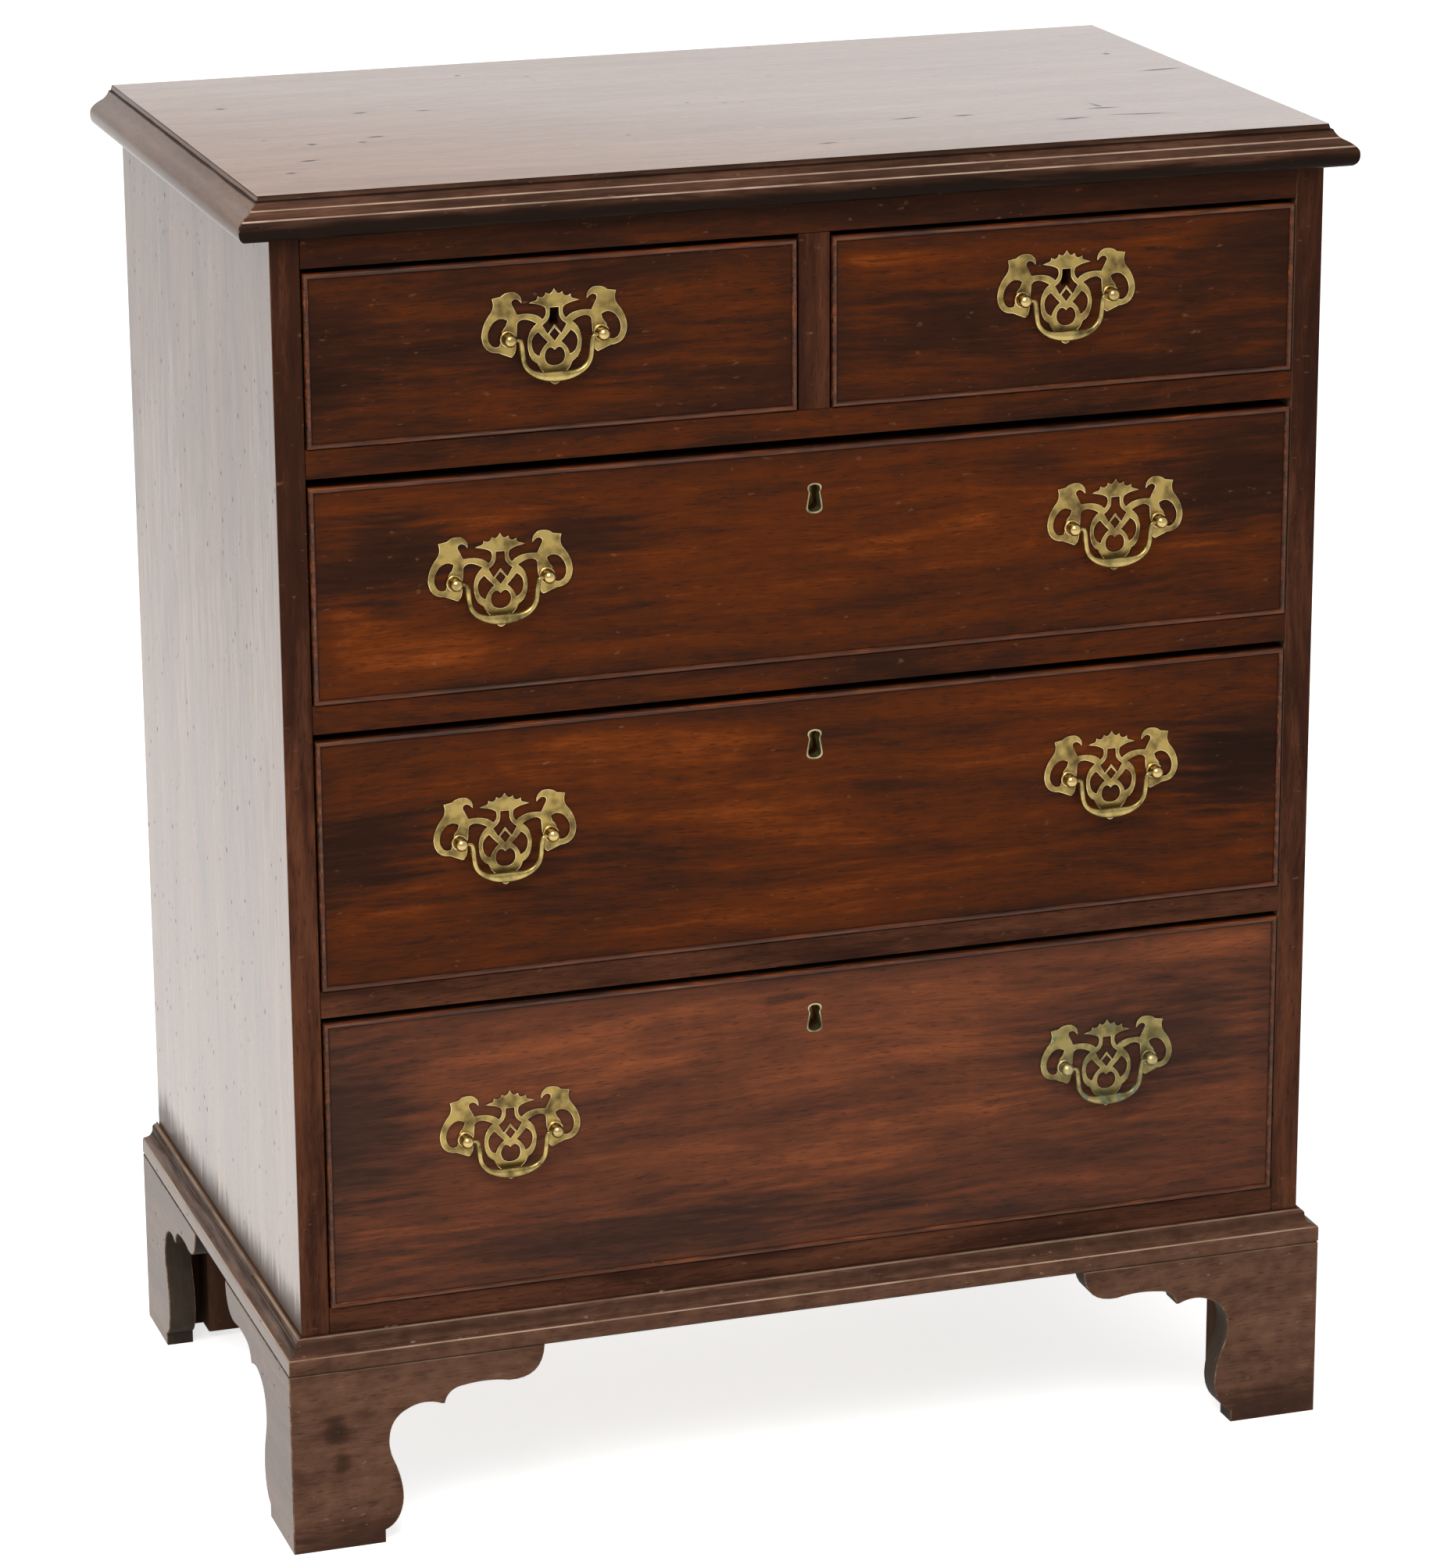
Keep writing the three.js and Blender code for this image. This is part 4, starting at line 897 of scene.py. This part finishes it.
# Keyholes and locks: each long drawer's keyhole is lined with a bent brass strip driven flush with the front.
# Behind each front sits a brass lock: a plate against the wood, and a bolt case inside the drawer.
def aged_brass(name, gold, dull, roughness=0.4, dull_share=0.5, green_share=0.0):
    """Cast brass with old lacquer and dirt: gold where it is rubbed, dull in soft patches 10 mm across, and
    green with verdigris in a share of them. Its grit is 0.6 mm."""
    material, shader, add = new_material(name)
    duller = 0.18
    grit_height = 0.08 * MM
    dull_from = 0.55 - 0.3 * dull_share
    dull_all = dull_from + 0.3
    green_from = 0.62 - 0.3 * green_share
    green_all = green_from + 0.1
    place = add("TexCoord", out="Object")
    patches = add("TexNoise", {"Vector": place, "Scale": 100.0, "Detail": 3.0, "Roughness": 0.5})
    dulled = add("MapRange", {"Value": patches, "From Min": dull_from, "From Max": dull_all})
    colour = add("Mix", {"Factor": dulled, MIX_FROM: paint(gold), MIX_TO: paint(dull)}, **COLOUR_MIX)
    bare = 1.0
    if green_share:
        crust = add("TexNoise", {"Vector": place, "Scale": 140.0, "Detail": 5.0})
        crust = add("MapRange", {"Value": crust, "From Min": green_from, "From Max": green_all})
        colour = add("Mix", {"Factor": crust, MIX_FROM: colour, MIX_TO: paint("#4c5a3c")}, **COLOUR_MIX)
        bare = add("Math", [1.0, crust], operation="SUBTRACT")
    sheen = add("MapRange", {"Value": dulled, "To Min": roughness, "To Max": roughness + duller})
    grit = add("TexNoise", {"Vector": place, "Scale": 1600.0, "Detail": 3.0})
    bump = add("Bump", {"Height": grit, "Distance": grit_height, "Strength": 1.0})
    feed(shader, {"Base Color": colour, "Metallic": bare, "Roughness": sheen, "Normal": bump})
    return material


keyhole_width = 12 * MM
keyhole_height = 21.5 * MM
keyhole_drop = 25 * MM
keyhole_shift = 1.5 * MM
lining_fit = 0.1 * MM
lining_wall = 1.3 * MM
lining_depth = 9 * MM
lining_stand = 0.25 * MM
keyhole_shares = [[0, 0], [0.46, 0, 0.5, 0.17], [0.47, 0.35, 0.35, 0.66], [0.34, 0.74, 0.42, 0.79],
                  [0.5, 0.98, 0, 1]]
keyhole_eye = 0.75
lining_arris = 0.2 * MM
# Tarnished brown-grey
keyhole_brass = aged_brass("tarnished_keyhole_brass", "#a39a76", "#5c533a")
# Yellow and clean, because it is shut away from hands
lock_brass = aged_brass("lock_plate_brass", "#b59a58", "#6e5a30", dull_share=0.3)
short_lock_half = (24 * MM, 17 * MM)
long_lock_half = (31 * MM, 19 * MM)
lock_plate_thickness = 1.4 * MM
lock_case_depth = 8 * MM
lock_rim = 4 * MM
lock_ease = 0.4 * MM
short_keyhole_lift = 13.2 * MM
plate_fall = 33.5 * MM


def keyhole_rows(margin):
    """The keyhole's outline, set in by a margin all round."""
    half = mirrored(keyhole_shares)
    rows = stretched(half, keyhole_width - 2 * margin, keyhole_height - 2 * margin)
    return [[v + (margin if i % 2 else 0) for i, v in enumerate(row)] for row in rows]


for drawer in drawers:
    low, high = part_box(f"{drawer}_front")
    if drawer.startswith("top"):
        plate_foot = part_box(f"{drawer}_handle_plate")[0].z
        eye = (low.x + high.x) / 2, plate_foot + plate_fall + short_keyhole_lift
        lock_half = short_lock_half
    else:
        foot_level = high.z - keyhole_drop - keyhole_height
        eye = keyhole_shift, foot_level + keyhole_eye * keyhole_height
        lock_half = long_lock_half
        outlines = [keyhole_rows(lining_fit), keyhole_rows(lining_wall)]
        lining = fret(f"{drawer}_keyhole_lining", outlines, lining_depth, lining_arris, steps=6)
        lining.location = (keyhole_shift, front_face - lining_stand + lining_depth / 2, foot_level)
        bpy.ops.object.transform_apply()
        finish_faces(lining)
        settle(lining, f"{drawer}_front", 3 * [keyhole_brass], stands_for_it=False)
    back_of_front = front_face + front_thickness
    lock_middle = back_of_front + lock_plate_thickness / 2
    bpy.ops.mesh.primitive_cube_add(size=2, location=(eye[0], lock_middle, eye[1]))
    lock = bpy.context.object
    lock.name = f"{drawer}_lock"
    lock.scale = (lock_half[0], lock_plate_thickness / 2, lock_half[1])
    bpy.ops.object.transform_apply()
    open_mesh(lock)
    pick(lock, "FACE", lambda face: face.normal.y > facing)
    bpy.ops.mesh.inset(thickness=lock_rim)
    bpy.ops.mesh.extrude_region_move(TRANSFORM_OT_translate={"value": (0, lock_case_depth, 0)})
    ease(lock, lambda edge: sharp(edge) and edge.verts[0].co.y > back_of_front, lock_ease)
    close_mesh()
    finish_faces(lock)
    settle(lock, f"{drawer}_front", [lock_brass], stands_for_it=False)


# Handles: a pierced and scrolled plate sawn from cast brass, its edges filed bright and painted paler still
# as highlights, and two posts turned with a collar and a ball, held by square nuts inside the drawer. The
# bail hangs on its pins between them.
def turned(name, profile, sides=32):
    """A piece turned about the Y axis, from rows of its radius and its place along the axis."""
    bpy.ops.curve.primitive_bezier_curve_add()
    piece = bpy.context.object
    piece.name = name
    piece.data.splines.clear()
    line = piece.data.splines.new("POLY")
    line.points.add(len(profile) - 1)
    for point, (radius, along) in zip(line.points, profile):
        point.co = (radius, along, 0, 1)
    only(piece)
    bpy.ops.object.convert(target="MESH")
    piece = bpy.context.object
    open_mesh(piece)
    bpy.ops.mesh.spin(steps=sides, angle=2 * math.pi, center=(0, 0, 0), axis=(0, 1, 0))
    close_mesh()
    finish_faces(piece, smooth_below=40)
    return piece


plate_half_width = 50 * MM
plate_rise = 32 * MM
plate_thickness = 1.5 * MM
plate_ease = 0.45 * MM
post_spacing = 64 * MM
ball_radius = 4.6 * MM
ball_standoff = 7.2 * MM
neck_radius = 2.5 * MM
collar_radius = 5.8 * MM
collar_thickness = 1.3 * MM
shank_radius = 2.2 * MM
shank_tail = 3 * MM
nut_half_width = 4.6 * MM
nut_thickness = 2.2 * MM
nut_ease = 0.3 * MM
plate_outline_shares = [
    [0, 1],
    [0.03, 0.9, 0.06, 0.885],
    [0.1, 0.89, 0.118, 0.93],
    [0.12, 0.84, 0.16, 0.825],
    [0.2, 0.82, 0.23, 0.86],
    [0.224, 0.775, 0.26, 0.76],
    [0.3, 0.75, 0.36, 0.71],
    [0.2, 0.694, 0.126, 0.6],
    [0.092, 0.469, 0.16, 0.363],
    [0.27, 0.547, 0.508, 0.494],
    [0.564, 0.675],
    [0.612, 0.788, 0.536, 0.819],
    [0.488, 0.819, 0.446, 0.713],
    [0.428, 0.891, 0.54, 0.969],
    [0.66, 1, 0.73, 0.894],
    [0.852, 0.863],
    [0.812, 0.688, 0.872, 0.563],
    [0.996, 0.338, 1, 0.078],
    [0.984, -0.263, 0.77, -0.269],
    [0.6, -0.376],
    [0.532, -0.364, 0.526, -0.119],
    [0.506, 0.313],
    [0.44, 0.469, 0.246, 0.281],
    [0.376, 0.125, 0.372, -0.134],
    [0.368, -0.448, 0.246, -0.531],
    [0.212, -0.639],
    [0.16, -0.731, 0.09, -0.8],
    [0.085, -0.95, 0, -0.98],
]
neck_hole_shares = [[0, 0.594], [0.06, 0.594], [0.064, 0.453], [0.072, 0.328, 0.164, 0.238], [0.096, 0.05],
                    [0, 0.244]]
diamond_shares = [[0, 0.163], [0.07, 0.038], [0, -0.1]]
heart_shares = [[0, -0.287], [0.068, -0.161, 0.124, -0.304], [0.16, -0.436, 0.1, -0.543],
                [0.052, -0.597, 0, -0.591]]
scroll_hole_shares = [[0.644, 0.381], [0.74, 0.494, 0.836, 0.356], [0.93, 0.188, 0.904, 0],
                      [0.86, -0.19, 0.756, -0.13], [0.726, 0.1], [0.72, 0.2, 0.668, 0.269], [0.644, 0.381]]
leaf_hole_shares = [[0.224, 0.1], [0.332, 0, 0.312, -0.179], [0.296, -0.34, 0.212, -0.382],
                    [0.188, -0.239, 0.092, -0.119], [0.152, -0.03, 0.224, 0.1]]
outlines = [mirrored(rows) for rows in (plate_outline_shares, neck_hole_shares, diamond_shares, heart_shares)]
for rows in (scroll_hole_shares, leaf_hole_shares):
    outlines += [rows, flipped(rows)]
outlines = [stretched(rows, plate_half_width, plate_rise, plate_fall) for rows in outlines]
plate_pattern = fret("plate_pattern", outlines, plate_thickness, plate_ease, steps=6)
finish_faces(plate_pattern)

shank_taper = 0.8
collar_shares = [(1, 0.35), (0.94, 0.8), (0.84, 1), (0.74, 0.9), (0.66, 0.5)]
collar_hollow = 0.5
ball_steps = 10
plate_front = -seat_gap - plate_thickness
plate_middle = plate_front + plate_thickness / 2
ball_end = math.pi - math.asin(neck_radius / ball_radius)
ball_arc = [ball_end * (1 - i / ball_steps) for i in range(ball_steps + 1)]
post_profile = [
    (0, front_thickness + shank_tail),
    (shank_radius * shank_taper, front_thickness + shank_tail),
    (shank_radius, front_thickness + shank_tail * shank_taper),
    (shank_radius, plate_middle),
    (collar_radius, plate_middle),
    *[(collar_radius * out, plate_front - collar_thickness * forward) for out, forward in collar_shares],
    (neck_radius, plate_front - collar_thickness * collar_hollow),
    *[(ball_radius * math.sin(angle), -ball_standoff - ball_radius * math.cos(angle)) for angle in ball_arc],
]
post_pattern = turned("post_pattern", post_profile)

square = [[-1, -1], [1, -1], [1, 1], [-1, 1]]
octagon = [[math.cos(math.pi * (i + 0.5) / 4), math.sin(math.pi * (i + 0.5) / 4)] for i in range(8)]
outlines = [stretched(square, nut_half_width, nut_half_width), stretched(octagon, shank_radius, shank_radius)]
nut_pattern = fret("nut_pattern", outlines, nut_thickness, nut_ease, steps=2)
finish_faces(nut_pattern)

# Old gold under brown lacquer on the plates, and pale gold where a file has bevelled them, painted paler to
# stand for the highlights along the bevels
plate_brass = aged_brass("lacquered_plate_brass", "#96804a", "#54442a", roughness=0.32)
filed_edge_and_highlight = aged_brass("filed_brass_edge_and_highlight", "#d0be8a", "#75663e", roughness=0.2, dull_share=0.45)
# Bright and smooth where hands touch the posts, and darker in patches on the bails
post_brass = aged_brass("rubbed_post_brass", "#b39a66", "#67562f", roughness=0.12, dull_share=0.2)
bail_brass = aged_brass("cast_bail_brass", "#a48f58", "#453a22", roughness=0.18, dull_share=0.45)
# Duller and flecked with green on the one handle that damp has reached
green_plate = aged_brass("verdigris_plate_brass", "#84764a", "#5a5032", roughness=0.45, green_share=0.1)
green_edge = aged_brass("verdigris_brass_edge", "#aa9c70", "#5c543a", roughness=0.4, green_share=0.2)
green_bail = aged_brass("verdigris_bail_brass", "#8a7c52", "#4e4830", roughness=0.35, green_share=0.35)


def placed(pattern, name, place, node, materials, stands_for_it=True):
    """A copy of a pattern piece, with its own mesh, moved to its place."""
    piece = bpy.data.objects.new(name, pattern.data.copy())
    bpy.context.collection.objects.link(piece)
    piece.data.transform(Matrix.Translation(place))
    settle(piece, node, materials, stands_for_it)


bail_growth = 0.36 * MM
for node in [node for node in frame["nodes"] if node.endswith("handle_plate")]:
    handle = node.removesuffix("_handle_plate")
    low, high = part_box(node)
    centre = Vector(((low.x + high.x) / 2, front_face, low.z + plate_fall))
    green = handle == "bottom_drawer_right"
    brasses = [green_plate, green_edge, green_edge] if green else [plate_brass, filed_edge_and_highlight, filed_edge_and_highlight]
    placed(plate_pattern, f"{handle}_pierced_plate", centre + Vector((0, plate_middle, 0)), node, brasses)
    for side, x in (("left", -1), ("right", 1)):
        foot = centre + Vector((x * post_spacing / 2, 0, 0))
        nut_place = foot + Vector((0, front_thickness + nut_thickness / 2, 0))
        placed(post_pattern, f"{handle}_{side}_post", foot, node, [green_edge if green else post_brass])
        placed(nut_pattern, f"{handle}_{side}_nut", nut_place, node, 3 * [lock_brass], stands_for_it=False)

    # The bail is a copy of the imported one, which has six sides: squared up, fattened and subdivided twice
    bail = merged_copy(f"{handle}_bail", f"{handle}_bail_ring")
    bpy.ops.mesh.tris_convert_to_quads(face_threshold=math.radians(60), shape_threshold=math.radians(60))
    bpy.ops.transform.shrink_fatten(value=bail_growth)
    close_mesh()
    smoothing = bail.modifiers.new("smoothing", "SUBSURF")
    smoothing.levels = smoothing.render_levels = 2
    bpy.ops.object.modifier_apply(modifier=smoothing.name)
    bpy.ops.object.shade_smooth()
    settle(bail, f"{handle}_bail", [green_bail if green else bail_brass])
for pattern in (plate_pattern, post_pattern, nut_pattern):
    bpy.data.objects.remove(pattern)


# Floor and light: a pale floor that fills the view and looks white, a white room, and one soft box overhead,
# to the left of the chest and in front of it.
def seen_straight(add):
    """One where the camera or a reflection looks at a surface, and none for the light that it gives."""
    path = add("LightPath", out=None).outputs
    return add("Math", [path["Is Camera Ray"], path["Is Glossy Ray"]], operation="MAXIMUM")


white = (1, 1, 1, 1)
floor_glow = 0.7
room_light = 0.6
floor_size = 30
bpy.ops.mesh.primitive_plane_add(size=floor_size)
floor = bpy.context.object
floor.name = "floor"
# Matt off-white paper, which shines a little where it is looked at, so that it shows white
pale, shader, add = new_material("pale_floor")
glow = add("Math", [seen_straight(add), floor_glow], operation="MULTIPLY")
feed(shader, {"Base Color": paint("#f4f4f2"), "Roughness": 0.9, "Emission Color": white,
              "Emission Strength": glow})
floor.data.materials.append(pale)

world = bpy.data.worlds.new("studio")
bpy.context.scene.world = world
world.use_nodes = True
add = partial(put, world.node_tree)
strength = add("Math", [seen_straight(add), 1 - room_light, room_light], operation="MULTIPLY_ADD")
feed(world.node_tree.nodes["Background"], {"Color": white, "Strength": strength})

light_place, light_aim = Vector((-1.2, -1.8, 3.0)), Vector((0, 0, 0.5))
light_size = 2.0
light_power = 90
bpy.ops.object.light_add(type="AREA", location=light_place)
light = bpy.context.object
light.name = "overhead_light"
light.data.size = light_size
light.data.energy = light_power
light.rotation_euler = (light_aim - light_place).to_track_quat("-Z", "Y").to_euler()
light.visible_camera = False

bpy.context.scene.view_settings.view_transform = "Standard"
